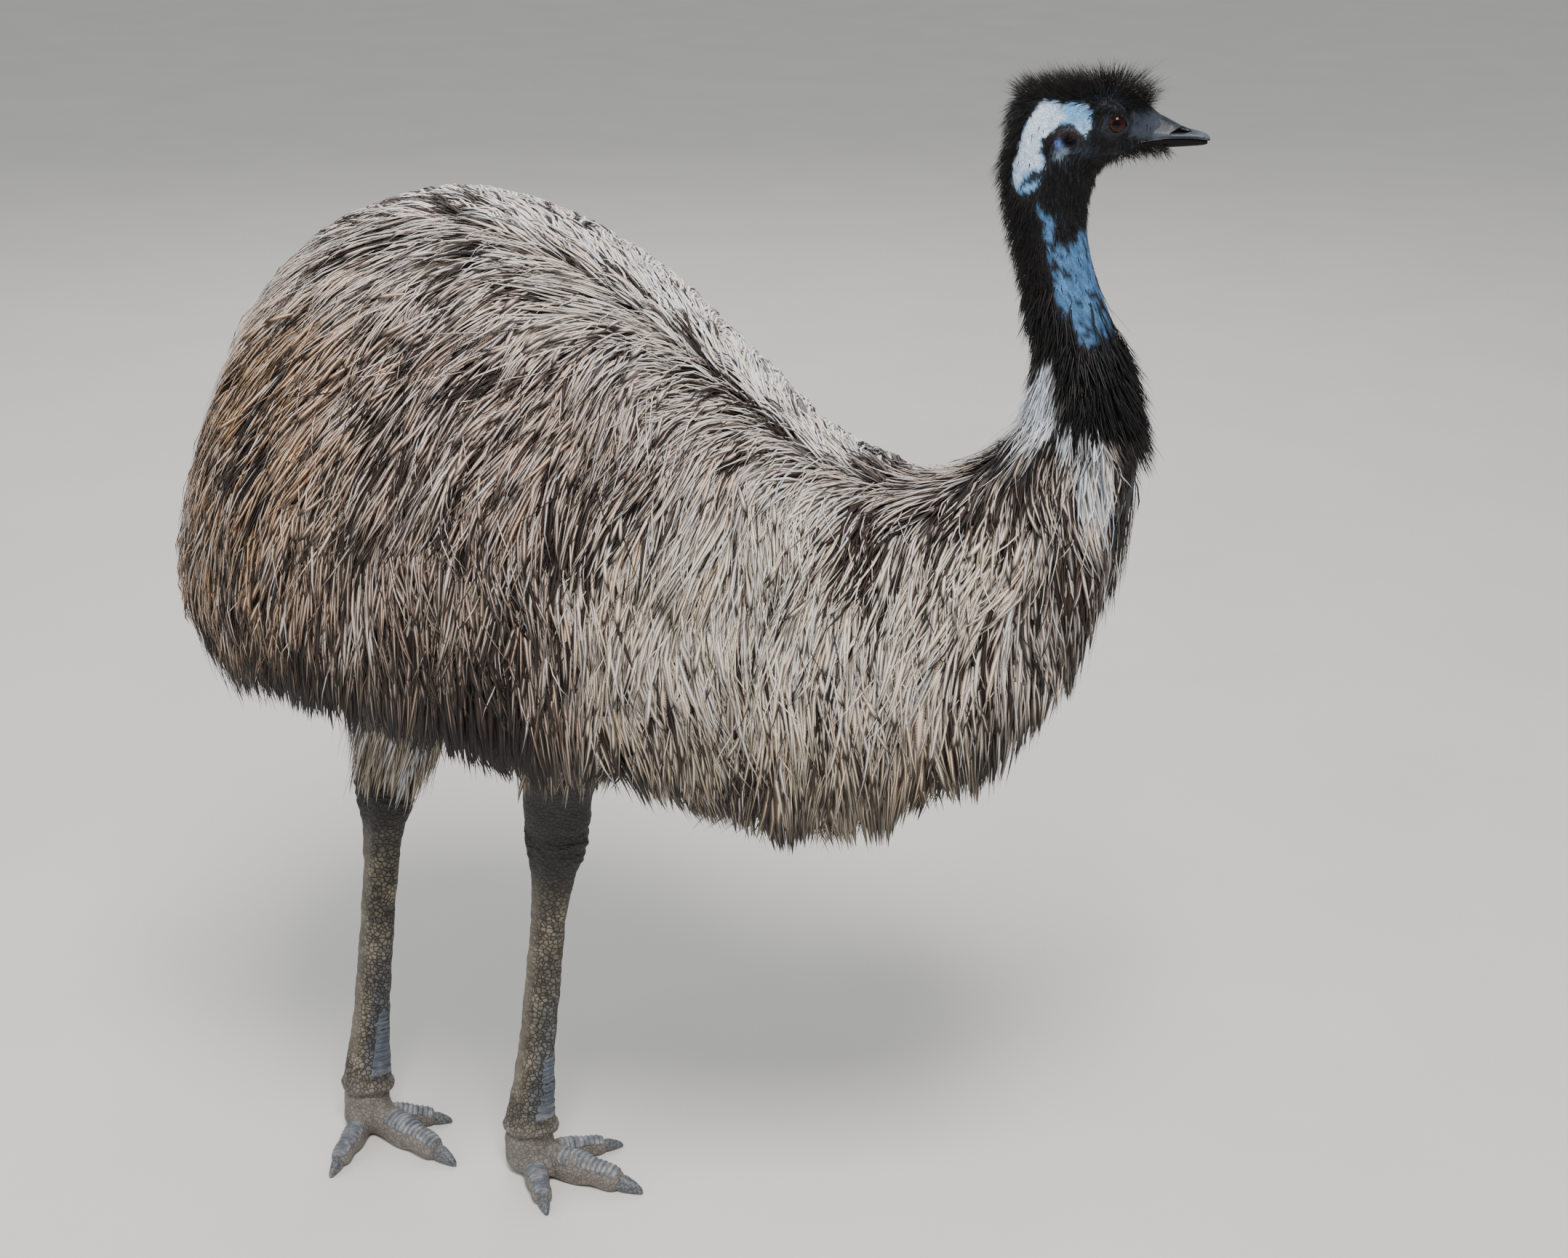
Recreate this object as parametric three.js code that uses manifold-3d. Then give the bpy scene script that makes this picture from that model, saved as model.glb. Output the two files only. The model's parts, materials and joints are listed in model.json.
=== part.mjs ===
// A standing emu at life size, in millimetres.
// The bird looks along +X, its left side is +Y, and its toes rest on one floor level.
// The feathered body, the neck and the head are one lofted form, parted with thin flat cuts.

import * as THREE from "three";
import { mergeVertices } from "three/addons/utils/BufferGeometryUtils.js";
import Module from "manifold-3d";

const wasm = await Module();
wasm.setup();

// Driving dimensions
const GAP = 0.3; // between pieces that touch
const HAIR = 0.01; // least distance between two corners
const AROUND = 20; // points round a section of the body

// Sections from the end of the rump to the base of the bill, out to the tips of the plumage.
// Each row: x and z on the line of the back, x and z on the line of the belly, half width.
const SECTIONS = [
  [-220, 724, -214, 690, 44],
  [-210, 820, -206, 638, 110],
  [-178, 920, -178, 612, 162],
  [-106, 1062, -112, 604, 220],
  [-2, 1125, -6, 596, 256],
  [99, 1135, 92, 582, 268],
  [230, 1084, 212, 562, 258],
  [344, 992, 334, 532, 230],
  [436, 912, 452, 504, 196],
  [507, 882, 580, 544, 160],
  [565, 882, 690, 640, 128],
  [616, 910, 754, 784, 98],
  [650, 958, 772, 904, 72],
  [659, 1008, 757, 988, 55],
  [650, 1047, 735, 1038, 43],
  [633, 1108, 711, 1100, 38],
  [620, 1162, 703, 1148, 37],
  [614, 1210, 708, 1176, 38],
  [622, 1250, 718, 1190, 40],
  [652, 1277, 730, 1198, 40],
  [698, 1288, 740, 1204, 37],
  [737, 1283, 750, 1207, 30],
  [763, 1261, 760, 1209, 22],
];
// Section numbers of the rings of the solid core: from, to and how many steps
const CORE_RINGS = [
  [0, 11, 20],
  [11, 16.4, 8],
  [16.4, 22, 13],
];
const TAIL_CUT = 2.45; // section number where the tail plumage meets the torso
const BREAST_CUT = 8.7; // where the torso meets the breast, at the saddle of the back
const CHEST_CUT = 11.3; // where the breast meets the lower neck
const NECK_CUT = 14.2; // where the lower neck meets the upper neck
const HEAD_CUT = 16.4; // where the upper neck meets the head
const SHOULDER = 0.44; // height of the widest line, as a share of a section
const ROOF = 2.1; // roundness of a section above its widest line
const CURTAIN = 3.2; // squareness below it, where the plumage hangs
const COAT = { body: 12, fringe: 55, neck: 5 }; // from the solid core out to the tips
const SLIM = [10.5, 13]; // section numbers where the body's form turns into the neck's

// Locks of plumage. Each starts sunk in the core, follows the lie and ends at the outside of
// the coat. Rows run along the body: an angle down from the line of the back, the length of
// the row's locks, and the section numbers where it starts and ends.
const LIE = { back: 0.28, backOnTop: 0.72, outOnTop: 0.75, down: 0.75, ends: [9.5, 12] };
const LOCK_STEPS = 12; // along the path of a lock
const DROOP = { from: -0.35, rate: 0.4 }; // where a lock leaves the skin, and how fast it drops
const BODY_LOCK = { width: 118, thick: 7, spacing: 128, sink: 12, rise: 5 };
const BODY_ROWS = [
  [0.07, 200, 1.9, 10.9],
  [0.55, 200, 1.5, 10.6],
  [1, 195, 1.1, 11.1],
  [1.42, 185, 1.3, 11.2],
  [1.78, 165, 1.6, 11.2],
  [2.2, 120, 9.4, 11.2],
  [2.75, 105, 10, 11.2],
];
const RUFF_LOCK = { length: 72, width: 44, thick: 4.5, spacing: 58, sink: 4, rise: 5 };
const RUFF_ROWS = [13.9, 13.0]; // section numbers
const CREST_LOCK = { length: 29, width: 15, thick: 3.5, sink: 7, lean: 0.5, turn: 0.9 };
const CREST_ROWS = [
  { u: 18.4, count: 2, spread: 1.2 },
  { u: 19.7, count: 2, spread: 1.2 },
  { u: 20.8, count: 4, spread: 1.7 },
];
const MANE_LOCK = { length: 48, width: 19, thick: 4, sink: 4, rise: 3 };
const MANE_ROWS = [17.5, 16]; // section numbers down the nape
const MANE_SPREAD = 0.55; // angle between the locks of a row
const THIGH_LOCK = { length: 128, width: 54, thick: 5, sink: 5, rise: 5 };
const THIGH_LOCKS = { start: 0.62, count: 6 }; // share of the way from hock to hip, and how many

// Scutes: the broad scales down the front of a shank and along the top of a toe, as plates
// raised on it. The rows give where they start and end along the limb or toe, as a share of
// its length, and how many there are.
const SCUTE = { rise: 2.2, groove: 0.1, spread: 1.1 };
const SHANK_SCUTES = [0.1, 0.3, 6];
const TOE_SCUTES = { inner: [0.36, 0.93, 4], middle: [0.3, 0.95, 6], outer: [0.36, 0.93, 4] };

// Bill
const BILL_BASE = 757; // x
const BILL_TIP = 814;
const MOUTH_BASE_Z = 1216;
const MOUTH_TIP_Z = 1221;
const CULMEN_BASE_Z = 1250;
const CULMEN_TIP_Z = 1227;
const CHIN_BASE_Z = 1208;
const CHIN_TIP_Z = 1217;
const BILL_HALF_WIDTH = 18;
const BILL_TIP_HALF_WIDTH = 5.5;
const BILL_ARCH = 2.5;

// Nostril, ear and corner of the mouth on the left side, the right ones mirror them
const NOSTRIL = { at: new THREE.Vector3(790, 9, 1230), half: new THREE.Vector3(7, 5, 2.2), tilt: 0.3 };
const EAR = { at: new THREE.Vector3(687, 38, 1226), half: new THREE.Vector3(6.5, 7, 8), tilt: 0 };
const GAPE = { at: new THREE.Vector3(746, 24, 1216.5), half: new THREE.Vector3(17, 8, 1.1), tilt: -0.12 };

// Eye
const EYE = new THREE.Vector3(729, 25, 1239); // left eye, the right one mirrors it
const EYE_RADIUS = 10.5;
const LID = { radius: 9.6, thick: 2.3, out: 6.2, tall: 0.86 };

// Legs, each with its foot joint, hock and hip point
const LEGS = {
  right: {
    foot: new THREE.Vector3(110, -24, 50),
    hock: new THREE.Vector3(163, -43, 448),
    hip: new THREE.Vector3(196, -98, 700),
    toes: { inner: 34, middle: -10, outer: -62 },
  },
  left: {
    foot: new THREE.Vector3(-107, 19, 50),
    hock: new THREE.Vector3(-66, 42, 444),
    hip: new THREE.Vector3(-14, 98, 700),
    toes: { inner: -92, middle: -25, outer: 15 },
  },
};
const TOE_LENGTH = { inner: 92, middle: 118, outer: 80 }; // foot joint to claw root
const TOE_HALF_WIDTH = { inner: 14, middle: 18, outer: 14 };
const TOE_HEIGHT = { inner: 29, middle: 38, outer: 29 };
const TOE_ARCH = 0.6; // height of a toe's round over its middle, as a share of its height
const TOE_MIDDLE = 0.4;
const TOE_SIDES = 10;
const SHANK_SIDES = 12;
const THIGH_SIDES = 14;
const HUB_SIDES = 14;
const CLAW_LENGTH = { inner: 22, middle: 27, outer: 20 };

// Colours
const MATERIALS = {
  plumage: new THREE.MeshStandardMaterial({ color: 0x8f8474, roughness: 0.9, metalness: 0 }),
  neck: new THREE.MeshStandardMaterial({ color: 0x2b2c30, roughness: 0.85, metalness: 0 }),
  legs: new THREE.MeshStandardMaterial({ color: 0x6d655a, roughness: 0.7, metalness: 0 }),
  horn: new THREE.MeshStandardMaterial({ color: 0x23262b, roughness: 0.4, metalness: 0 }),
  eye: new THREE.MeshStandardMaterial({ color: 0x5a2412, roughness: 0.15, metalness: 0 }),
};

const FORWARD = new THREE.Vector3(1, 0, 0);
const LEFT = new THREE.Vector3(0, 1, 0);
const UP = new THREE.Vector3(0, 0, 1);

// Solids

function solidFrom(geometry) {
  const bare = geometry.clone();
  bare.deleteAttribute("normal");
  bare.deleteAttribute("uv");
  const merged = mergeVertices(bare, 1e-4);
  return new wasm.Manifold(
    new wasm.Mesh({
      numProp: 3,
      vertProperties: new Float32Array(merged.attributes.position.array),
      triVerts: new Uint32Array(merged.index.array),
    }),
  );
}

function largest(solid) {
  const pieces = solid.decompose();
  return pieces.reduce((best, piece) => (piece.volume() > best.volume() ? piece : best));
}

// Points that the joins and cuts leave in one place are set a hair apart, so that the faces
// round them stay closed
function apart(positions) {
  const taken = new Set();
  for (let i = 0; i < positions.length; i += 3) {
    const key = () => [0, 1, 2].map((k) => Math.round(positions[i + k] / HAIR)).join();
    while (taken.has(key())) positions[i + 2] += HAIR;
    taken.add(key());
  }
  return positions;
}

function geometryFrom(solid) {
  const mesh = solid.getMesh();
  const geometry = new THREE.BufferGeometry();
  geometry.setAttribute("position", new THREE.BufferAttribute(apart(mesh.vertProperties), 3));
  geometry.setIndex(new THREE.BufferAttribute(mesh.triVerts, 1));
  geometry.computeVertexNormals();
  return geometry;
}

// A closed skin over rings that all have the same number of points, its faces pointing out
// whichever way the rings run. It ends in a point where a tip is given.
function loft(rings, tip = null) {
  const count = rings[0].length;
  const points = rings.flat();
  const index = [];
  for (let r = 0; r < rings.length - 1; r++) {
    for (let i = 0; i < count; i++) {
      const j = (i + 1) % count;
      const a = r * count + i;
      const b = r * count + j;
      index.push(a, b, b + count, a, b + count, a + count);
    }
  }
  const ends = [rings[0], rings[rings.length - 1]];
  ends.forEach((ring, which) => {
    const centre = new THREE.Vector3();
    ring.forEach((p) => centre.addScaledVector(p, 1 / count));
    const c = points.push(which === 1 && tip ? tip : centre) - 1;
    const start = which === 0 ? 0 : (rings.length - 1) * count;
    for (let i = 0; i < count; i++) {
      const a = start + i;
      const b = start + ((i + 1) % count);
      if (which === 0) index.push(c, b, a);
      else index.push(c, a, b);
    }
  });
  const corner = new THREE.Vector3();
  let volume = 0;
  for (let i = 0; i < index.length; i += 3) {
    corner.crossVectors(points[index[i + 1]], points[index[i + 2]]);
    volume += corner.dot(points[index[i]]);
  }
  const geometry = new THREE.BufferGeometry().setFromPoints(points);
  geometry.setIndex(volume > 0 ? index : index.reverse());
  return geometry;
}

// Value of one column of SECTIONS at a fractional section number, on a smooth curve
function along(column, u) {
  const last = SECTIONS.length - 1;
  const at = (i) => SECTIONS[THREE.MathUtils.clamp(i, 0, last)][column];
  const i = Math.min(Math.floor(u), last - 1);
  const t = u - i;
  const slopeA = (at(i + 1) - at(i - 1)) / 2;
  const slopeB = (at(i + 2) - at(i)) / 2;
  const t2 = t * t;
  const t3 = t2 * t;
  return (
    (2 * t3 - 3 * t2 + 1) * at(i) + (t3 - 2 * t2 + t) * slopeA +
    (3 * t2 - 2 * t3) * at(i + 1) + (t3 - t2) * slopeB
  );
}

// A point of the solid core: u is the section number, angle runs from the back (0)
// down the left side to the belly (PI) and up the right side
function bodyPoint(u, angle) {
  const outerBack = new THREE.Vector3(along(0, u), 0, along(1, u));
  const outerBelly = new THREE.Vector3(along(2, u), 0, along(3, u));
  const slim = THREE.MathUtils.smoothstep(u, ...SLIM);
  const coat = THREE.MathUtils.lerp(COAT.body, COAT.neck, slim);
  const hang = THREE.MathUtils.lerp(COAT.fringe, coat, THREE.MathUtils.smoothstep(u, 8, 11));
  const upright = outerBack.clone().sub(outerBelly).normalize();
  const back = outerBack.addScaledVector(upright, -coat);
  const belly = outerBelly.addScaledVector(upright, hang);
  const share = THREE.MathUtils.lerp(SHOULDER, 0.5, slim);
  const middle = belly.clone().lerp(back, share);
  const c = Math.cos(angle);
  const s = Math.sin(angle);
  const power = THREE.MathUtils.lerp(c > 0 ? ROOF : CURTAIN, 2, slim);
  const reach = (Math.abs(c) ** power + Math.abs(s) ** power) ** (-1 / power);
  const end = c > 0 ? back : belly;
  return middle
    .clone()
    .addScaledVector(end.clone().sub(middle), Math.abs(c) * reach)
    .add(new THREE.Vector3(0, (along(4, u) - coat) * s * reach, 0));
}

function bodyRing(u) {
  return Array.from({ length: AROUND }, (_, i) => bodyPoint(u, (i / AROUND) * 2 * Math.PI));
}

// The whole core
function coreSolid() {
  const rings = [bodyRing(0)];
  CORE_RINGS.forEach(([from, to, steps]) => {
    for (let i = 1; i <= steps; i++) rings.push(bodyRing(THREE.MathUtils.lerp(from, to, i / steps)));
  });
  return solidFrom(loft(rings));
}

// The flat cut through a section: it keeps the side towards higher section numbers, or with
// sign -1 the other side, and takes off half the gap
function cutAt(solid, u, sign) {
  const back = bodyPoint(u, 0);
  const belly = bodyPoint(u, Math.PI);
  const normal = new THREE.Vector3(belly.z - back.z, 0, back.x - belly.x).normalize();
  if (normal.dot(bodyPoint(u + 0.5, 0).add(bodyPoint(u + 0.5, Math.PI)).sub(back).sub(belly)) < 0) {
    normal.negate();
  }
  normal.multiplyScalar(sign);
  return solid.trimByPlane(normal.toArray(), normal.dot(back) + GAP / 2);
}

// Locks

let seed = 7;
function random() {
  seed = (seed * 1664525 + 1013904223) % 4294967296;
  return seed / 4294967296;
}

function vary(value, share) {
  return value * (1 + share * (2 * random() - 1));
}

function normalAt(u, angle) {
  const step = 0.02;
  const alongBody = bodyPoint(u + step, angle).sub(bodyPoint(u - step, angle));
  const round = bodyPoint(u, angle + step).sub(bodyPoint(u, angle - step));
  return round.cross(alongBody).normalize().negate();
}

// Moves a surface place (u, angle) by a step in space that lies in the surface
function moved(place, step) {
  const d = 0.02;
  const here = bodyPoint(place.u, place.angle);
  const du = bodyPoint(place.u + d, place.angle).sub(here).divideScalar(d);
  const da = bodyPoint(place.u, place.angle + d).sub(here).divideScalar(d);
  const [uu, ua, aa] = [du.dot(du), du.dot(da), da.dot(da)];
  const [su, sa] = [step.dot(du), step.dot(da)];
  const det = uu * aa - ua * ua;
  return {
    u: THREE.MathUtils.clamp(place.u + (su * aa - sa * ua) / det, 0.03, SECTIONS.length - 1.03),
    angle: place.angle + (sa * uu - su * ua) / det,
  };
}

// The way plumage lies: down, more so on the flanks, and back and outward from the parting
function lie(u, normal) {
  const top = Math.max(0, normal.z);
  const body = 1 - THREE.MathUtils.smoothstep(u, ...LIE.ends);
  const wish = new THREE.Vector3(
    -(LIE.back + LIE.backOnTop * top) * body,
    LIE.outOnTop * top * Math.sign(normal.y) * body,
    -LIE.down,
  );
  return wish.addScaledVector(normal, -wish.dot(normal)).normalize();
}

// A flat tapered lock over a path: each stop has its centre, its outward direction, half width
// and half thickness; three sides, so that it has a crest and a flat back, and a pointed tip
function lockSolid(stops) {
  const rings = stops.slice(0, -1).map(({ at, out, half, thick }, i) => {
    const next = stops[i + 1].at;
    const last = stops[Math.max(i - 1, 0)].at;
    const side = next.clone().sub(last).cross(out).normalize();
    return [
      at.clone().addScaledVector(side, half).addScaledVector(out, -thick),
      at.clone().addScaledVector(out, thick),
      at.clone().addScaledVector(side, -half).addScaledVector(out, -thick),
    ];
  });
  return solidFrom(loft(rings, stops[stops.length - 1].at));
}

// Place along a lock, share of its width and share of its thickness, from root to tip
const LOCK_PROFILE = [
  [0, 0.62, 0.8],
  [0.3, 1, 1],
  [0.7, 0.84, 0.8],
  [1, 0, 0],
];

// One lock that follows the lie from a place on the core, rising to the coat's outside,
// and hangs straight once the surface turns under
function plumageLock(u, angle, size) {
  const length = vary(size.length, 0.1);
  const half = vary(size.width / 2, 0.06);
  const step = length / LOCK_STEPS;
  let place = { u, angle };
  let way = lie(u, normalAt(u, angle));
  let at = bodyPoint(u, angle);
  let out = normalAt(u, angle);
  let hanging = false;
  const path = [{ at, out }];
  for (let i = 0; i < LOCK_STEPS; i++) {
    if (!hanging) {
      place = moved(place, way.clone().multiplyScalar(step));
      at = bodyPoint(place.u, place.angle);
      out = normalAt(place.u, place.angle);
      way = lie(place.u, out);
      hanging = out.z < DROOP.from;
    } else {
      way = way.clone().addScaledVector(UP, -DROOP.rate).normalize();
      out = out.clone().addScaledVector(way, -out.dot(way)).normalize();
      at = at.clone().addScaledVector(way, step);
    }
    path.push({ at, out });
  }
  const coat = THREE.MathUtils.lerp(COAT.body, COAT.neck, THREE.MathUtils.smoothstep(u, ...SLIM));
  const top = vary(coat + size.rise, 0.06);
  const stops = LOCK_PROFILE.map(([t, wide, thick]) => {
    const { at: p, out: n } = path[Math.round(t * LOCK_STEPS)];
    const height = THREE.MathUtils.lerp(-size.sink, top - size.thick * 0.3, t);
    const at = p.clone().addScaledVector(n, height);
    return { at, out: n, half: half * wide, thick: (size.thick / 2) * thick };
  });
  return lockSolid(stops);
}

// Locks in rows along both sides of the body
function bodyLocks() {
  const locks = [];
  BODY_ROWS.forEach(([angle, length, start, end], row) => {
    let u = start;
    let walked = (1 - (row % 2) / 2) * BODY_LOCK.spacing;
    let last = bodyPoint(u, angle);
    for (; u < end; u += 0.02) {
      const here = bodyPoint(u, angle);
      walked += here.distanceTo(last);
      last = here;
      if (walked < BODY_LOCK.spacing) continue;
      walked = 0;
      for (const side of [1, -1]) {
        const tilt = side * (angle + 0.03 * (2 * random() - 1));
        locks.push(plumageLock(u, tilt, { ...BODY_LOCK, length }));
      }
    }
  });
  return locks;
}

// The black ruff round the lower neck
function ruffLocks() {
  return RUFF_ROWS.flatMap((u, row) => {
    const count = Math.round((along(4, u) * 2 * Math.PI) / RUFF_LOCK.spacing);
    return Array.from({ length: count }, (_, i) => {
      const angle = ((i + row / 2) / count) * 2 * Math.PI;
      return plumageLock(u, angle, RUFF_LOCK);
    });
  });
}

// Hair-like tufts that stand up on the crown and lean over the forehead
function crestLocks() {
  return CREST_ROWS.flatMap(({ u, count, spread }) =>
    Array.from({ length: count }, (_, i) => {
      const angle = ((i + 0.5) / count - 0.5) * spread;
      const root = bodyPoint(u, angle);
      const out = normalAt(u, angle);
      const lean = out.clone().addScaledVector(FORWARD, vary(CREST_LOCK.lean, 0.5)).normalize();
      const turn = CREST_LOCK.turn * (2 * random() - 1);
      const face = LEFT.clone().addScaledVector(lean, -LEFT.dot(lean)).normalize();
      face.applyAxisAngle(lean, turn);
      const length = vary(CREST_LOCK.length, 0.15);
      const stops = LOCK_PROFILE.map(([t, wide, thick]) => ({
        at: root.clone().addScaledVector(lean, length * t - CREST_LOCK.sink),
        out: face,
        half: (CREST_LOCK.width / 2) * wide,
        thick: (CREST_LOCK.thick / 2) * thick,
      }));
      return lockSolid(stops);
    }),
  );
}

// The mane down the nape
function maneLocks() {
  return MANE_ROWS.flatMap((u, row) =>
    [-1, 0, 1].map((place) => plumageLock(u, (place + row / 2) * MANE_SPREAD, MANE_LOCK)),
  );
}

// Head, neck and body

const core = coreSolid();
const locks = [...bodyLocks(), ...ruffLocks(), ...maneLocks(), ...crestLocks()];
const plumage = wasm.Manifold.union([core, ...locks]);
const tail = cutAt(plumage, TAIL_CUT, -1);
const torso = cutAt(cutAt(plumage, TAIL_CUT, 1), BREAST_CUT, -1);
const breast = cutAt(cutAt(plumage, BREAST_CUT, 1), CHEST_CUT, -1);
const neckLower = cutAt(cutAt(plumage, CHEST_CUT, 1), NECK_CUT, -1);
const neckUpper = cutAt(cutAt(plumage, NECK_CUT, 1), HEAD_CUT, -1);
const head = cutAt(plumage, HEAD_CUT, 1);

// Bill: rings stand across it, the upper half rests on the lower with the mouth's gap between

function billHalf(upper, grow = 0) {
  const { lerp } = THREE.MathUtils;
  const way = upper ? 1 : -1;
  const steps = 6;
  const sides = 10;
  const rings = Array.from({ length: steps + 1 }, (_, i) => {
    const t = i / steps;
    const x = lerp(BILL_BASE - grow, BILL_TIP + grow - (upper ? 0 : 3), t);
    const mouth = lerp(MOUTH_BASE_Z, MOUTH_TIP_Z, t) + way * (GAP / 2 - grow);
    const crest = upper
      ? lerp(CULMEN_BASE_Z, CULMEN_TIP_Z, t ** 0.9) + BILL_ARCH * Math.sin(Math.PI * t)
      : lerp(CHIN_BASE_Z, CHIN_TIP_Z, t ** 1.4);
    const half = lerp(BILL_HALF_WIDTH, BILL_TIP_HALF_WIDTH, t ** 1.1) - (upper ? 0 : 1.5) + grow;
    return Array.from({ length: sides + 1 }, (_, k) => {
      const angle = Math.PI * (k / sides);
      const rise = (crest + way * grow - mouth) * Math.sin(angle) ** 0.8;
      return new THREE.Vector3(x, half * Math.cos(angle), mouth + rise);
    });
  });
  return solidFrom(loft(rings));
}

// Eyes

function eyeSolid(side, radius) {
  const ball = new THREE.SphereGeometry(radius, 12, 7);
  ball.translate(EYE.x, EYE.y * side, EYE.z);
  return solidFrom(ball);
}

// The two lids as one ring, square to the side of the face
function lids(side) {
  const ring = new THREE.TorusGeometry(LID.radius, LID.thick, 3, 11);
  ring.rotateX(Math.PI / 2);
  ring.scale(1, 1, LID.tall);
  ring.translate(EYE.x, (EYE.y + LID.out) * side, EYE.z);
  return solidFrom(ring);
}

// A small oval hollow or slit, tilted in the side of the face
function hollow({ at, half, tilt }, side) {
  const oval = new THREE.SphereGeometry(1, 8, 5);
  oval.scale(half.x, half.y, half.z);
  oval.rotateY(tilt);
  oval.translate(at.x, at.y * side, at.z);
  return solidFrom(oval);
}

// Legs

function limb(from, to, rows, sides) {
  const rings = rows.map(([t, wide, deep, plate = 0]) =>
    Array.from({ length: sides }, (_, i) => {
      const angle = (i / sides) * 2 * Math.PI;
      const rise = Math.cos(angle) > Math.cos(SCUTE.spread) ? plate : 0;
      return limbPoint(from, to, [t, wide, deep], angle, rise);
    }),
  );
  return solidFrom(loft(rings));
}

// The two directions across a limb
function across(from, to) {
  const axis = to.clone().sub(from).normalize();
  const front = FORWARD.clone().addScaledVector(axis, -axis.x).normalize();
  return { front, side: axis.clone().cross(front) };
}

// A point over a limb's surface: the row it lies on, angle round from the front, rise off it
function limbPoint(from, to, [t, wide, deep], angle, rise) {
  const { front, side } = across(from, to);
  return from
    .clone()
    .lerp(to, t)
    .addScaledVector(front, Math.cos(angle) * (deep + rise))
    .addScaledVector(side, Math.sin(angle) * (wide + rise));
}

// The rows of a limb or toe at any place along it, between the given ones
function rowAt(rows, place) {
  const next = Math.max(1, rows.findIndex(([at]) => at >= place));
  const [a, b] = [rows[next - 1], rows[next]];
  const share = (place - a[0]) / (b[0] - a[0]);
  return a.map((value, i) => THREE.MathUtils.lerp(value, b[i], share));
}

// The same rows with two more for each scute, and how far its plate rises there. Each plate
// starts low behind the groove and ends high over the next one.
function withScutes(rows, [start, end, count]) {
  const pitch = (end - start) / count;
  const plates = Array.from({ length: count }, (_, i) => start + pitch * i).flatMap((from) => [
    [...rowAt(rows, from + pitch * SCUTE.groove), SCUTE.rise * 0.3],
    [...rowAt(rows, from + pitch * (1 - SCUTE.groove)), SCUTE.rise],
  ]);
  const plain = rows.filter(([at]) => at <= start || at >= end).map((row) => [...row, 0]);
  return [...plain, ...plates].sort((a, b) => a[0] - b[0]);
}

// Shank: from the foot joint to just over the hock. Rows: place, half width, half depth
const SHANK = [
  [0.02, 24, 30],
  [0.12, 21.5, 26.5],
  [0.25, 18, 22.5],
  [0.5, 16.5, 20.5],
  [0.75, 17, 21],
  [0.88, 20, 24],
  [0.97, 24, 30],
  [1.04, 23, 30],
  [1.08, 15, 20],
];
// Thigh: from the hock towards the hip, as far as the plumage
const THIGH = [
  [0.03, 22, 30],
  [0.2, 29, 37],
  [0.4, 42, 50],
  [0.62, 54, 64],
  [0.84, 60, 70],
];

// Rows of a limb made larger all over by a small amount, to cut its neighbours clear of it
function grown(rows, length, grow) {
  const wider = rows.map(([t, wide, deep]) => [t, wide + grow, deep + grow]);
  wider[0][0] -= grow / length;
  wider[wider.length - 1][0] += grow / length;
  return wider;
}

function shank(leg, grow = 0) {
  const rows = grown(SHANK, leg.foot.distanceTo(leg.hock), grow);
  return limb(leg.foot, leg.hock, grow ? rows : withScutes(rows, SHANK_SCUTES), SHANK_SIDES);
}

function thigh(leg, grow = 0) {
  const rows = grown(THIGH, leg.hock.distanceTo(leg.hip), grow);
  return limb(leg.hock, leg.hip, rows, THIGH_SIDES);
}

// Tufts that hang down round a thigh, to just over the hock
function thighLocks(leg) {
  const height = leg.hock.distanceTo(leg.hip);
  return Array.from({ length: THIGH_LOCKS.count }, (_, i) => {
    const angle = ((i + 0.2 * (random() - 0.5)) / THIGH_LOCKS.count) * 2 * Math.PI;
    const length = vary(THIGH_LOCK.length, 0.08) / height;
    const point = (t, rise) => limbPoint(leg.hock, leg.hip, rowAt(THIGH, t), angle, rise);
    const stops = LOCK_PROFILE.map(([t, wide, thick]) => {
      const place = THIGH_LOCKS.start - length * t;
      const at = point(place, THREE.MathUtils.lerp(-THIGH_LOCK.sink, THIGH_LOCK.rise, t));
      const out = point(place, 1).sub(point(place, 0)).normalize();
      return { at, out, half: (THIGH_LOCK.width / 2) * wide, thick: (THIGH_LOCK.thick / 2) * thick };
    });
    return lockSolid(stops);
  });
}

// Hub of the foot: a rounded pad over the floor that the three toes grow from.
// Rows: height, half width, half depth
const HUB = [
  [0, 21, 25],
  [5, 26, 31],
  [26, 28, 33],
  [46, 27, 32],
  [66, 23, 28],
];

function hub(leg, grow = 0) {
  const lean = leg.hock.clone().sub(leg.foot).normalize();
  const rings = HUB.map(([z, wide, deep]) => {
    const at = leg.foot.clone().addScaledVector(lean, Math.max(0, (z - leg.foot.z) / lean.z)).setZ(z);
    return Array.from({ length: HUB_SIDES }, (_, i) => {
      const angle = (i / HUB_SIDES) * 2 * Math.PI;
      return at
        .clone()
        .addScaledVector(LEFT, Math.cos(angle) * (wide + grow))
        .addScaledVector(FORWARD, Math.sin(angle) * (deep + grow));
    });
  });
  return solidFrom(loft(rings));
}

// One toe, flat under its two pads, with its claw as a piece of its own
function toeRows(name) {
  const length = TOE_LENGTH[name];
  const half = TOE_HALF_WIDTH[name];
  const tall = TOE_HEIGHT[name];
  return [
    [8, half * 0.9, tall * 1.15, 0],
    [length * 0.3, half * 0.95, tall * 1.0, 1.5],
    [length * 0.42, half * 0.98, tall * 0.97, 0],
    [length * 0.6, half, tall * 0.9, 0],
    [length * 0.72, half * 0.86, tall * 0.8, 1.5],
    [length * 0.84, half * 0.86, tall * 0.75, 0],
    [length * 0.96, half * 0.72, tall * 0.62, 0],
    [length, half * 0.55, tall * 0.5, 1],
  ];
}

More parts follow.
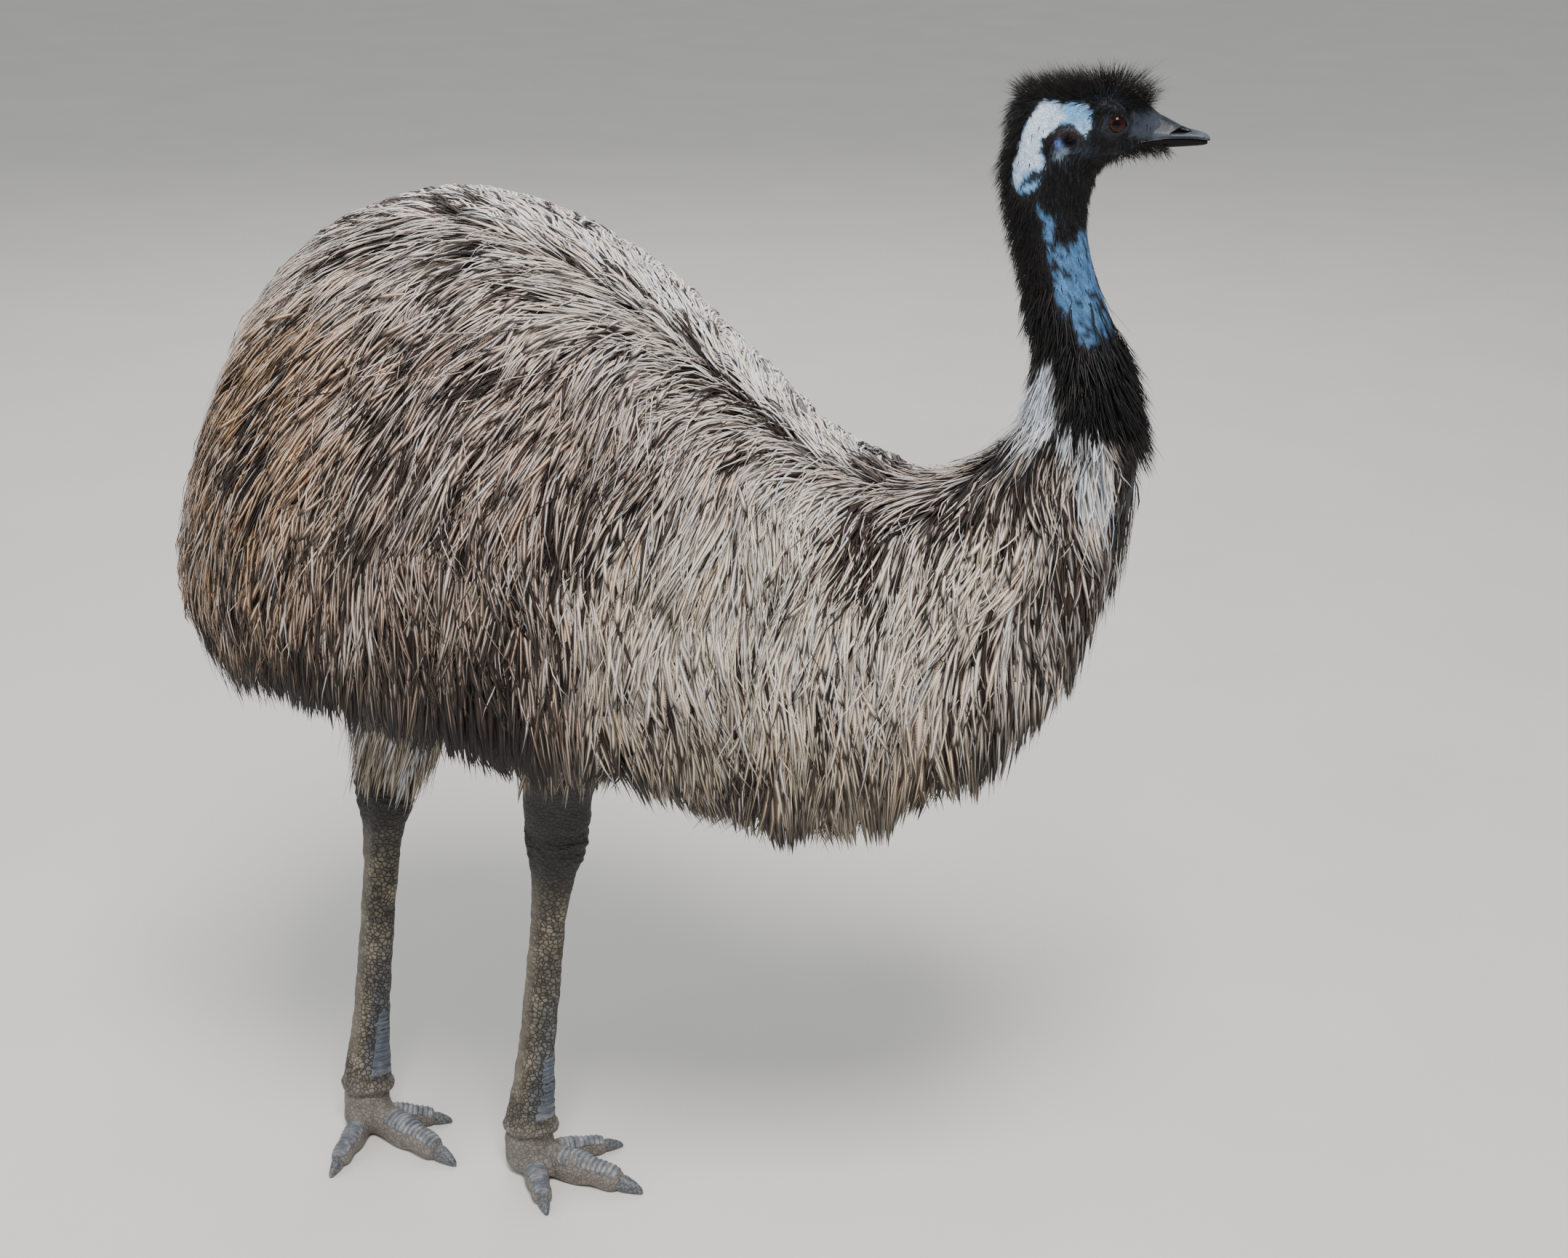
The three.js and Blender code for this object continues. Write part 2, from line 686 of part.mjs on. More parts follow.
function toeRing(leg, yaw, [reach, half, tall, lift, plate = 0]) {
  const forward = new THREE.Vector3(Math.cos(yaw), Math.sin(yaw), 0);
  const side = new THREE.Vector3(-Math.sin(yaw), Math.cos(yaw), 0);
  const at = new THREE.Vector3(leg.foot.x, leg.foot.y, 0).addScaledVector(forward, reach);
  return Array.from({ length: TOE_SIDES }, (_, i) => {
    const angle = ((i + 0.5) / TOE_SIDES) * 2 * Math.PI - Math.PI / 2;
    const z = Math.sin(angle) * TOE_ARCH + TOE_MIDDLE;
    const rise = Math.sin(angle) > Math.cos(SCUTE.spread) ? plate : 0;
    return at
      .clone()
      .addScaledVector(side, -(half + rise * 0.6) * Math.cos(angle))
      .setZ(lift + (tall - lift) * Math.max(0, z) + rise);
  });
}

function toe(leg, name, grow = 0) {
  const yaw = THREE.MathUtils.degToRad(leg.toes[name]);
  const plain = toeRows(name);
  const length = TOE_LENGTH[name];
  const [start, end, count] = TOE_SCUTES[name];
  const rows = grow
    ? plain.map(([reach, half, tall, lift]) => [reach, half + grow, tall + grow, lift - grow])
    : withScutes(plain, [start * length, end * length, count]);
  return solidFrom(loft(rows.map((row) => toeRing(leg, yaw, row))));
}

function claw(leg, name) {
  const yaw = THREE.MathUtils.degToRad(leg.toes[name]);
  const start = TOE_LENGTH[name] + GAP;
  const half = TOE_HALF_WIDTH[name] * 0.5;
  const tall = TOE_HEIGHT[name] * 0.5;
  const length = CLAW_LENGTH[name];
  const rows = [
    [start, half, tall, 0],
    [start + length * 0.4, half * 0.85, tall * 0.86, 0],
    [start + length * 0.75, half * 0.55, tall * 0.6, 0],
    [start + length, half * 0.16, tall * 0.22, 0],
  ];
  return solidFrom(loft(rows.map((row) => toeRing(leg, yaw, row))));
}

// Assembly

const model = new THREE.Group();

function addNode(name, solid, material) {
  const mesh = new THREE.Mesh(geometryFrom(largest(solid)), MATERIALS[material].clone());
  mesh.name = name;
  model.add(mesh);
}

let upperBill = billHalf(true);
const lowerBill = billHalf(false);
let headSolid = head;
for (const [side, sign] of [["left", 1], ["right", -1]]) {
  headSolid = headSolid.add(lids(sign)).subtract(eyeSolid(sign, EYE_RADIUS + GAP));
  headSolid = headSolid.subtract(hollow(EAR, sign)).subtract(hollow(GAPE, sign));
  upperBill = upperBill.subtract(hollow(NOSTRIL, sign));
  addNode(`eye_${side}`, eyeSolid(sign, EYE_RADIUS), "eye");
}
headSolid = headSolid.subtract(billHalf(true, GAP)).subtract(billHalf(false, GAP));
addNode("head", headSolid, "neck");
addNode("bill_upper", upperBill, "horn");
addNode("bill_lower", lowerBill, "horn");
addNode("neck_upper", neckUpper, "neck");
addNode("neck_lower", neckLower, "neck");

let torsoSolid = torso;
for (const [side, leg] of Object.entries(LEGS)) {
  const tufted = wasm.Manifold.union([thigh(leg), ...thighLocks(leg)]);
  torsoSolid = torsoSolid.subtract(thigh(leg, GAP));
  const clearHub = hub(leg, GAP);
  const clearShank = shank(leg, GAP);
  addNode(`thigh_${side}`, tufted.subtract(clearShank), "plumage");
  addNode(`shank_${side}`, shank(leg), "legs");
  addNode(`foot_${side}`, hub(leg).subtract(clearShank), "legs");
  const clearMiddle = toe(leg, "middle", GAP);
  for (const name of Object.keys(leg.toes)) {
    const solid = toe(leg, name).subtract(clearHub);
    addNode(`toe_${name}_${side}`, name === "middle" ? solid : solid.subtract(clearMiddle), "legs");
    addNode(`claw_${name}_${side}`, claw(leg, name), "horn");
  }
}
addNode("torso", torsoSolid, "plumage");
addNode("breast", breast, "plumage");
addNode("tail_plumage", tail, "plumage");

// The origin is the middle of the foot of the model's box
const box = new THREE.Box3().setFromObject(model);
const centre = box.getCenter(new THREE.Vector3());
model.position.set(-centre.x, -centre.y, -box.min.z);
model.updateMatrixWorld(true);

export default model;
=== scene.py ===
# %% [markdown]
# # An emu at life size
# The bird is packed as plain solids, and this script dresses them. The solids stay where they
# are as the fixed frame, so the first step loads them.
# %% Load the fixed frame
import json
import math

import bmesh
import bpy
import numpy as np
from mathutils import Matrix, Vector, noise
from mathutils.kdtree import KDTree

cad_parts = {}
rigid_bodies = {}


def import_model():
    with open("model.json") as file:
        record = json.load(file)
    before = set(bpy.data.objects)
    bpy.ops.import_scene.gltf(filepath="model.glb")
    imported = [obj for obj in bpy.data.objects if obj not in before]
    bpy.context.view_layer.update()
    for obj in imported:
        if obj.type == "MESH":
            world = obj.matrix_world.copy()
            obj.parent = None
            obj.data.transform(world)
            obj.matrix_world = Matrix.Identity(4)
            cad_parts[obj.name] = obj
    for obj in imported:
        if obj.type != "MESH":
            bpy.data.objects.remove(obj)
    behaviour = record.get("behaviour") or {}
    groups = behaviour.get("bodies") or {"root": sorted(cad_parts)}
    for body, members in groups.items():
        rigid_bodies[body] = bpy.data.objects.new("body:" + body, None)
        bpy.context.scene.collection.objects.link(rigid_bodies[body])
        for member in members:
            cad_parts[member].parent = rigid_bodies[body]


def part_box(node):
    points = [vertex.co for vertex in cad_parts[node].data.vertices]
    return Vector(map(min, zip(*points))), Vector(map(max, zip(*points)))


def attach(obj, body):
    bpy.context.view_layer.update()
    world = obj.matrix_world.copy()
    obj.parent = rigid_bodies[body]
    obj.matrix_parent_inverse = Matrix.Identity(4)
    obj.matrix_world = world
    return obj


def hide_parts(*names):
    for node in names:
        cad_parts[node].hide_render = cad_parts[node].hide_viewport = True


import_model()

for thing in [o for o in bpy.data.objects if o.name in ("Cube", "Light", "Camera")]:
    bpy.data.objects.remove(thing)
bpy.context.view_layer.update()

# %% [markdown]
# All sizes below are in millimetres, with the origin on the floor between the feet, because
# an anatomist would measure them so. One function turns them into metres in the frame's own
# place. The two eyes are whole balls in the solids, so their middles tell where that is.
# %% From millimetres to the frame
EYE = np.array([729.0, 25.0, 1239.0])  # the left eye's middle
EYE_RADIUS = 10.5


def middle_of(node):
    low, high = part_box(node)
    return np.array((low + high) / 2)


eyes = (middle_of("eye_left") + middle_of("eye_right")) / 2
SHIFT = eyes - np.array([EYE[0], 0.0, EYE[2]]) / 1000


def metres(points):
    return np.asarray(points, float) / 1000 + SHIFT


print("frame shift in metres:", SHIFT.round(5))

# %% [markdown]
# ## The form of body, neck and head
# One smooth row of sections runs from the rump to the bill. A section has a point on the line
# of the back, one on the line of the belly and a half width. A curve through the rows gives a
# section anywhere, and an angle picks a point round it. The skin lies inside the tips of the
# coat by the coat's depth: little on the neck, more on the back, most over the hanging hem.
# %% The sections
SECTIONS = np.array([
    [-220, 724, -214, 690, 44], [-210, 820, -206, 638, 110], [-178, 920, -178, 612, 162],
    [-106, 1062, -112, 604, 220], [-2, 1125, -6, 596, 256], [99, 1135, 92, 582, 268],
    [230, 1084, 212, 562, 258], [344, 992, 334, 532, 230], [436, 912, 452, 504, 196],
    [507, 882, 580, 544, 160], [565, 882, 690, 640, 128], [616, 910, 754, 784, 98],
    [650, 958, 772, 904, 72], [659, 1008, 757, 988, 55], [650, 1047, 735, 1038, 43],
    [633, 1108, 711, 1100, 38], [620, 1162, 703, 1148, 37], [614, 1210, 708, 1176, 38],
    [622, 1250, 718, 1190, 40], [652, 1277, 730, 1198, 40], [698, 1288, 740, 1204, 37],
    [737, 1283, 750, 1207, 30], [763, 1261, 760, 1209, 22]], float)
LAST = len(SECTIONS) - 1
NECK = (10.5, 13)  # the sections between which the body turns into the neck
SHOULDER = 0.44  # how high the widest place of a section lies, as a share
ROOF, CURTAIN = 2.1, 3.2  # how full a section is above and below it; 2 is an ellipse
COAT = {"body": 12, "fringe": 55, "neck": 5}  # depth of the coat over the skin


def smooth(x, low, high):
    t = np.clip((np.asarray(x, float) - low) / (high - low), 0, 1)
    return t * t * (3 - 2 * t)


def mix(a, b, t):
    return a + (b - a) * t


def unit(v):
    return v / np.maximum(np.linalg.norm(v, axis=-1, keepdims=True), 1e-9)


def dot(a, b):
    return (a * b).sum(-1, keepdims=True)


def curve(t, a, b, slope_a, slope_b, run=1):
    """The smooth curve from a, where t is 0, to b, where it is 1, with the slopes at its ends."""
    return ((2 * t**3 - 3 * t**2 + 1) * a + (t**3 - 2 * t**2 + t) * run * slope_a
            + (3 * t**2 - 2 * t**3) * b + (t**3 - t**2) * run * slope_b)


def along(column, u):
    """A column of SECTIONS on a smooth curve at any section number u."""
    i = np.clip(np.floor(u).astype(int), 0, LAST - 1)
    before, a, b, after = (SECTIONS[np.clip(i + k, 0, LAST), column] for k in (-1, 0, 1, 2))
    return curve(u - i, a, b, (b - before) / 2, (after - a) / 2)


def plain_point(u, angle):
    """A point of the skin: angle 0 is the back, pi / 2 the left side, pi the belly."""
    u, angle = np.broadcast_arrays(np.asarray(u, float), np.asarray(angle, float))
    zero = np.zeros_like(u)
    back = np.stack([along(0, u), zero, along(1, u)], -1)
    belly = np.stack([along(2, u), zero, along(3, u)], -1)
    slim = smooth(u, *NECK)
    coat = mix(COAT["body"], COAT["neck"], slim)
    hang = mix(COAT["fringe"], coat, smooth(u, 8, 11))
    upright = unit(back - belly)
    back, belly = back - upright * coat[..., None], belly + upright * hang[..., None]
    middle = mix(belly, back, mix(SHOULDER, 0.5, slim)[..., None])
    c, s = np.cos(angle), np.sin(angle)
    power = mix(np.where(c > 0, ROOF, CURTAIN), 2, slim)
    reach = (np.abs(c) ** power + np.abs(s) ** power) ** (-1 / power)
    end = np.where((c > 0)[..., None], back, belly)
    point = middle + (end - middle) * (np.abs(c) * reach)[..., None]
    point[..., 1] += (along(4, u) - coat) * s * reach
    return point


print("top of the back at", plain_point(5, 0).round())

# %% [markdown]
# The plain sections make a smooth egg of a head. The forms of a real one are added as small
# pushes of that surface, each tied to a place in the side view: the skull under the down, the
# ring of flesh round the eye with a pit for the ball, the brow, the ear hole with its rim, the
# hollow lore, the cheek and the crease of the mouth.
# %% The forms of the head
EAR = (686, 1221)
MOUTH = [(722, 1211), (730, 1213), (738, 1216), (746, 1219), (757, 1221.5), (768, 1223)]


def away(points, spot):
    """Distance from a place in the side view."""
    return np.hypot(points[..., 0] - spot[0], points[..., 2] - spot[1])


def to_chain(x, z, places):
    """Distance of (x, z) from the line that joins a row of places in the side view."""
    least = np.full(np.shape(x), 1e9)
    for (ax, az), (bx, bz) in zip(places, places[1:]):
        t = np.clip(((x - ax) * (bx - ax) + (z - az) * (bz - az))
                    / ((bx - ax) ** 2 + (bz - az) ** 2), 0, 1)
        least = np.minimum(least, np.hypot(x - ax - t * (bx - ax), z - az - t * (bz - az)))
    return least


def off_line(points, line):
    return to_chain(points[..., 0], points[..., 2], line)


def hill(distance, width):
    return np.exp(-(distance / width) ** 2)


def sculpt(u, p):
    """The smooth sections with the forms of the head pushed into them."""
    p = p.copy()
    head = smooth(u, 16.2, 17.5)
    x, z = p[..., 0], p[..., 2]
    forehead = smooth(x, 730, 758) * smooth(z, 1238, 1256)
    p[..., 2] -= head * (14 * smooth(z, 1252, 1288) + 4 * forehead)
    p[..., 0] += head * 9 * (1 - smooth(x, 616, 650)) * smooth(z, 1170, 1215)
    eye, ear = away(p, (EYE[0], EYE[2])), away(p, EAR)
    push = 5.2 * hill(eye, 15) - 7.5 * hill(eye, 8.2) ** 2
    push += 2.2 * hill(off_line(p, [(712, 1253), (730, 1256), (748, 1251)]), 6)
    push += 2.4 * hill(ear - 11, 3.2) - 9 * hill(ear, 7.2) ** 2
    push -= 2.2 * hill(off_line(p, [(744, 1240), (757, 1238)]), 7)
    push += 2.2 * hill(off_line(p, [(708, 1213), (726, 1212), (746, 1215)]), 5)
    push -= 3.0 * hill(off_line(p, MOUTH), 1.5)
    push += 1.6 * hill(off_line(p, [(703, 1224), (712, 1232)]), 5)
    side = smooth(np.abs(p[..., 1]), 4, 16) * head
    p[..., 1] += np.sign(p[..., 1]) * push * side
    return p


print("ear hole at", EAR, "and", len(MOUTH), "places along the mouth")

# %% [markdown]
# At its front end the skin takes the shape of the bill, so that no step shows where they meet.
# The rows along the bill serve the skin here and the horn later. The neck gets a little fuller.
# %% The whole skin
# along the bill: x, half width, ridge, line of the mouth, lower edge
BILL_ROWS = np.array([
    [744, 20, 1251, 1218.5, 1215], [750, 18.6, 1249.8, 1220, 1214.6],
    [757, 17, 1247.6, 1221.6, 1214.2], [764, 15.4, 1245.4, 1222.8, 1214],
    [771, 13.9, 1242.6, 1223.6, 1214], [779, 12.4, 1238.6, 1224.1, 1214.4],
    [787, 11, 1234.6, 1224.4, 1215], [795, 9.4, 1231.8, 1224.3, 1215.8],
    [803, 7.9, 1230.2, 1223.9, 1216.6], [809, 6.7, 1228.8, 1223.3, 1217.4],
    [812, 5.6, 1226.8, 1222.6, 1218.4], [814.5, 3.2, 1224.4, 1221.9, 1219.8]])


def bill_rows(x):
    return [np.interp(x, BILL_ROWS[:, 0], BILL_ROWS[:, k]) for k in (1, 2, 3, 4)]


def skin_point(u, angle):
    """plain_point with a fuller neck, the forms of the head and the root of the bill."""
    u, angle = np.broadcast_arrays(np.asarray(u, float), np.asarray(angle, float))
    plain = plain_point(u, angle)
    neck = smooth(u, 13, 14.2) * (1 - smooth(u, 17, 17.8))
    c = np.cos(angle)
    plain[..., 0] += neck * (4.5 * smooth(-c, 0.1, 0.9) + 3.5 * smooth(c, 0.1, 0.9))
    if not (u.size and u.max() > 16):
        return plain
    shaped = sculpt(u, plain)
    end = smooth(u, 20.9, 22)
    x = mix(shaped[..., 0], 771, end)
    half, crest, mouth, under = bill_rows(x)
    inner = smooth(x, 757, 769)
    y = half * mix(1.03, 0.88, inner) * np.sin(angle)
    above = crest - mouth + mix(0.4, -1.2, inner)
    below = mouth - under + mix(1.6, -1.0, inner)
    z = mouth + np.where(c > 0, above, below) * c
    return mix(shaped, np.stack([x, y, z], -1), end[..., None])


NUDGE = 0.02  # a small step of u and of the angle, to find slopes


def skin_normal(u, angle):
    length = skin_point(u + NUDGE, angle) - skin_point(u - NUDGE, angle)
    round_ = skin_point(u, angle + NUDGE) - skin_point(u, angle - NUDGE)
    return unit(np.cross(length, round_))


print("skull at", skin_point(20.0, 0.0).round(), "beside the eye", skin_point(20.6, 1.6).round(1))

# %% [markdown]
# ## Colours and markings
# The same markings are read by the skin and by the feathers that grow from it. Each is an
# outline in the side view, in millimetres, with its edge broken up by noise, as the edge of a
# patch of feathers is. Colours are written as a painter's hex numbers and turned into the
# linear light that the renderer works in.
# %% Colour helpers
def paint(code):
    c = np.array([int(code[i:i + 2], 16) for i in (0, 2, 4)]) / 255
    return np.where(c <= 0.04045, c / 12.92, ((c + 0.055) / 1.055) ** 2.4)


def layered(tone, *layers):
    """Colours laid over a tone, each with its share at every point, from 0 to 1."""
    for colour, share in layers:
        colour = paint(colour) if isinstance(colour, str) else colour
        tone = mix(tone, colour, share[:, None])
    return tone


def ripple(points, size, seed=0.0):
    """Smooth noise, about -1 to 1, with features of the given size in millimetres."""
    scaled = np.asarray(points, float) / size + seed
    return np.array([noise.noise(p) for p in scaled.tolist()]) * 1.6


def inside(outline, points, ragged, soft):
    """1 inside an outline in the side view, 0 outside, with a soft and ragged edge."""
    x, z = points[:, 0], points[:, 2]
    if ragged:
        x = x + ragged * ripple(points, ragged * 2.2, 3.1)
        z = z + ragged * ripple(points, ragged * 2.2, 8.7)
    closed = [*outline, outline[0]]
    within = np.zeros(len(x), bool)
    for (ax, az), (bx, bz) in zip(closed, closed[1:]):
        crosses = (az > z) != (bz > z)
        run = (bx - ax) * (z - az) / ((bz - az) if bz != az else 1e-9) + ax
        within ^= crosses & (x < run)
    nearest = to_chain(x, z, closed)
    return smooth(np.where(within, nearest, -nearest), -soft, soft)


BLACK = paint("0c0b0c")
SLATE, WHITE = paint("31373f"), paint("d2e3f4")
SKY, VIOLET = paint("44709c"), paint("5f7ac6")
print("sky blue in linear light:", SKY.round(3))

# %% [markdown]
# The side of the head has a bare white crescent behind the eye that turns pale blue at its
# edges, and a violet spot and a brown rim at the ear hole. The front of the neck is bare
# sky-blue skin with black spots, and the rest is black under black down. The lore, between eye
# and bill, is smooth slate skin.
# %% Markings of head and neck
CRESCENT = [(655, 1255), (664, 1258), (674, 1258), (683, 1255), (691, 1258), (704, 1256),
            (708, 1246), (707, 1237), (702, 1227), (697, 1230), (692, 1236), (687, 1239),
            (679, 1239), (673, 1235), (670, 1228), (663, 1226), (659, 1223), (662, 1216),
            (658, 1209), (665, 1206), (663, 1194), (657, 1194), (648, 1186), (643, 1180),
            (637, 1171), (633, 1182), (634, 1198), (638, 1215), (642, 1229), (649, 1242)]
BLUE_STREAK = [(657, 1168), (667, 1150), (679, 1149), (674, 1126), (665, 1130)]
BLUE_NECK = [(671, 1119), (691, 1123), (699, 1133), (706, 1131), (724, 1107), (744, 1080),
             (750, 1052), (746, 1040), (714, 1029), (705, 1031), (697, 1045), (688, 1054),
             (680, 1077), (674, 1105)]
LORE = [(736, 1212), (740, 1226), (740, 1247), (747, 1253), (765, 1256), (800, 1240), (800, 1200),
        (764, 1208), (748, 1209)]
RAGS = [(638, 1173), (646, 1170), (655, 1175), (664, 1186), (654, 1181), (645, 1177)]


def spot(points, x, z, size):
    return np.exp(-((points[:, 0] - x) ** 2 + (points[:, 2] - z) ** 2) / size**2)


def head_marks(points):
    """Masks on the head and neck: white, wash of blue, blue neck, violet, lore."""
    white = np.maximum(inside(CRESCENT, points, 2.2, 1.2), inside(RAGS, points, 1.5, 1.2))
    wash = np.clip(1.3 * spot(points, 688, 1249, 14) + spot(points, 650, 1184, 12)
                   + 0.9 * spot(points, 704, 1243, 9) + 0.5 * ripple(points, 6, 5) - 0.05
                   + 0.7 * (1 - inside(CRESCENT, points, 1.5, 6)), 0, 1)
    neck = np.maximum(inside(BLUE_NECK, points, 4, 1.5), inside(BLUE_STREAK, points, 3, 1.5))
    dots = np.maximum(smooth(ripple(points, 11, 1.7), 0.5, 0.6),
                      smooth(ripple(points, 5, 4.7), 0.45, 0.62))
    violet = spot(points, 676.5, 1220, 3.8)
    lore = inside(LORE, points, 1.5, 3.5)
    return white, wash, neck * (1 - dots), violet, lore


def ear_rim(points):
    """1 on the ring of short brown down over the ear hole."""
    above = smooth(points[:, 2] - 0.5 * (points[:, 0] - EAR[0]), 1213, 1222)
    return hill(away(points, EAR) - 10, 4) * above


def head_skin(points):
    white, wash, neck, violet, lore = head_marks(points)
    grain, mottle, speck = (ripple(points, *how)[:, None] for how in ((4, 2.2), (7, 6.2), (2.2, 3.2)))
    tone = layered(
        BLACK * (1 + 0.2 * grain),
        (paint("3c4a5a") * (1 + 0.4 * grain), spot(points, 698, 1211, 12) * 0.6),
        (paint("8097ad") * (1 + 0.3 * grain), spot(points, 679, 1209, 6.5) * 0.95),
        ("352a22", ear_rim(points) * 0.9),
        (mix(WHITE, paint("74aee0"), wash[:, None]) * (1 + 0.08 * grain), white),
        (VIOLET * 1.2, violet * 0.95),
        (SKY * (0.92 + 0.3 * mottle + 0.25 * grain + 0.45 * speck), neck),
        (SLATE * (1 + 0.25 * grain), lore))
    return np.clip(tone, 0, 1)


print("outlines:", len(CRESCENT), "points for the crescent,", len(BLUE_NECK), "for the blue neck")

# %% [markdown]
# The plumage is not one colour. The ridge of the back is cream, the back taupe, the rump
# golden brown, the hem of the rear nearly black, the flank pale and the breast dark tipped.
# Each region gets a colour and shares of dark and of cream feathers, blended by soft masks.
# A dark patch low on the flank, behind the pale part, is painted shade.
# %% Markings of the body
WHITE_NECK = [(676, 1000), (645, 962), (634, 937), (655, 905), (690, 945)]
WHITE_SIDE = [(690, 944), (701, 950), (712, 930), (700, 900)]
WHITE_FRONT = [(710, 925), (735, 940), (750, 908), (748, 856), (716, 860)]


def plumage(points, u, angle):
    """Base colour, share of dark feathers, share of cream feathers and darkness of the tips."""
    x, z = points[:, 0], points[:, 2]
    patch = ripple(points, 60, 4.0)
    fine = ripple(points, 22, 9.0)
    top = 1 - smooth(np.abs(angle), 0.2, 0.75)
    blotch = smooth(ripple(points, 34, 21.0), 0.3, 0.75)
    rump = 1 - smooth(x + 30 * patch, -90, 130)
    pale = smooth(x + 35 * patch, 210, 330) * (1 - smooth(z + 25 * patch, 850, 940))
    middle = (1 - pale) * (1 - smooth(z + 30 * patch, 840, 980)) * (1 - 0.5 * rump)
    # painted shade: a dark patch low on the flank behind the pale part
    shade = hill(np.hypot((x - 140) / 1.2, z - 690), 85) * (0.8 + 0.4 * fine)
    hem = (1 - smooth(z + 25 * patch + 14 * fine, 665, 775)) * (1 - smooth(x + 30 * fine, 130, 240))
    fringe = (1 - smooth(z + 20 * patch + 10 * fine, 600, 740)) * smooth(x, 220, 300)
    breast = smooth(x - 0.25 * (z - 700) + 25 * patch, 590, 680)
    saddle = (smooth(x + 12 * fine, 450, 510) * smooth(z - 0.25 * (x - 520), 795, 850)
              * (1 - smooth(u, 11, 12)))
    parting = hill(angle + 0.3, 0.05) + hill(angle - 0.4, 0.05)
    dark = 0.15 + 0.22 * smooth(patch + fine, 0.3, 1.3) + 0.4 * hem + 0.6 * saddle - 0.11 * pale
    dark = dark + 0.3 * parting * smooth(u, 4, 5) * (1 - smooth(u, 8.6, 9.4))
    dark = dark + 0.14 * smooth(x, 560, 640) * (1 - smooth(z, 700, 800))
    dark = dark + 0.12 * shade - 0.1 * top + 0.22 * blotch * (1 - top) + 0.15 * fringe
    cream = 0.1 + 0.4 * top + 0.16 * pale - 0.2 * hem - 0.1 * saddle - 0.06 * shade - 0.2 * fringe
    tips = 0.75 + 0.3 * fine + 0.4 * hem + 0.3 * breast - 0.35 * top + 0.4 * blotch - 0.25 * pale
    white = np.maximum(inside(WHITE_NECK, points, 8, 5), inside(WHITE_SIDE, points, 5, 4))
    white = np.maximum(white, inside(WHITE_FRONT, points, 6, 4))
    black = smooth(z - 0.5 * (x - 690) + 10 * fine, 900, 920) * smooth(u, 10.8, 11.6)
    black = np.maximum(black, smooth(z, 925, 935) * smooth(x, 715, 730))
    high = smooth(z + 20 * fine, 835, 880) * (1 - smooth(x + 4 * fine, 744, 752))
    front = smooth(x - 0.3 * (z - 760) + 10 * fine, 640, 678) * (1 - high)
    front = front * mix(0.72 + 0.28 * blotch, 0.96, smooth(x, 738, 746))
    base = layered(
        np.tile(paint("bba79c"), (len(x), 1)),
        ("b58c5d", rump * 0.9),
        ("7b695e", middle * 0.85),
        ("efe4d4", pale),
        ("bfb2aa", breast),
        ("f7ece8", top * 0.95 * (1 - saddle) * smooth(u, 1.5, 5.5)),
        ("41372f", np.clip(shade, 0, 1) * 0.34),
        ("74664f", fringe * 0.85),
        ("30271f", hem * 0.8),
        ("302927", saddle * 0.95),
        ("e4eefc", white),
        (BLACK, np.maximum(black * (1 - white), front)))
    quiet = (1 - white) * (1 - black)
    return base, dark * quiet, cream * quiet, np.clip(tips * quiet, 0, 1)


print("white patches of the lower neck: 3")

# %% [markdown]
# ## Materials
# Shader maths is easier to read as an expression than as a web of nodes. The small class
# below wraps a socket, so that adding or multiplying two values places the Math nodes.
# %% Numbers in a shader
class Number:
    def __init__(self, kit, socket):
        self.kit, self.socket = kit, socket

    def math(self, operation, *others):
        return self.kit.number("ShaderNodeMath", {"operation": operation}, [self, *others])

    def __add__(self, other): return self.math("ADD", other)
    def __mul__(self, other): return self.math("MULTIPLY", other)
    def __sub__(self, other): return self.math("SUBTRACT", other)
    def __rsub__(self, other): return self.kit.as_number(other).math("SUBTRACT", self)
    def __pow__(self, other): return self.math("POWER", other)
    __radd__, __rmul__ = __add__, __mul__

    def step(self, low, high):
        """0 below low, 1 above high, smooth between."""
        settings = {"interpolation_type": "SMOOTHSTEP"}
        return self.kit.number("ShaderNodeMapRange", settings, {"Value": self, "From Min": low,
                               "From Max": high, "To Min": 0, "To Max": 1})


print("a number can be added, multiplied, subtracted, raised to a power and stepped")

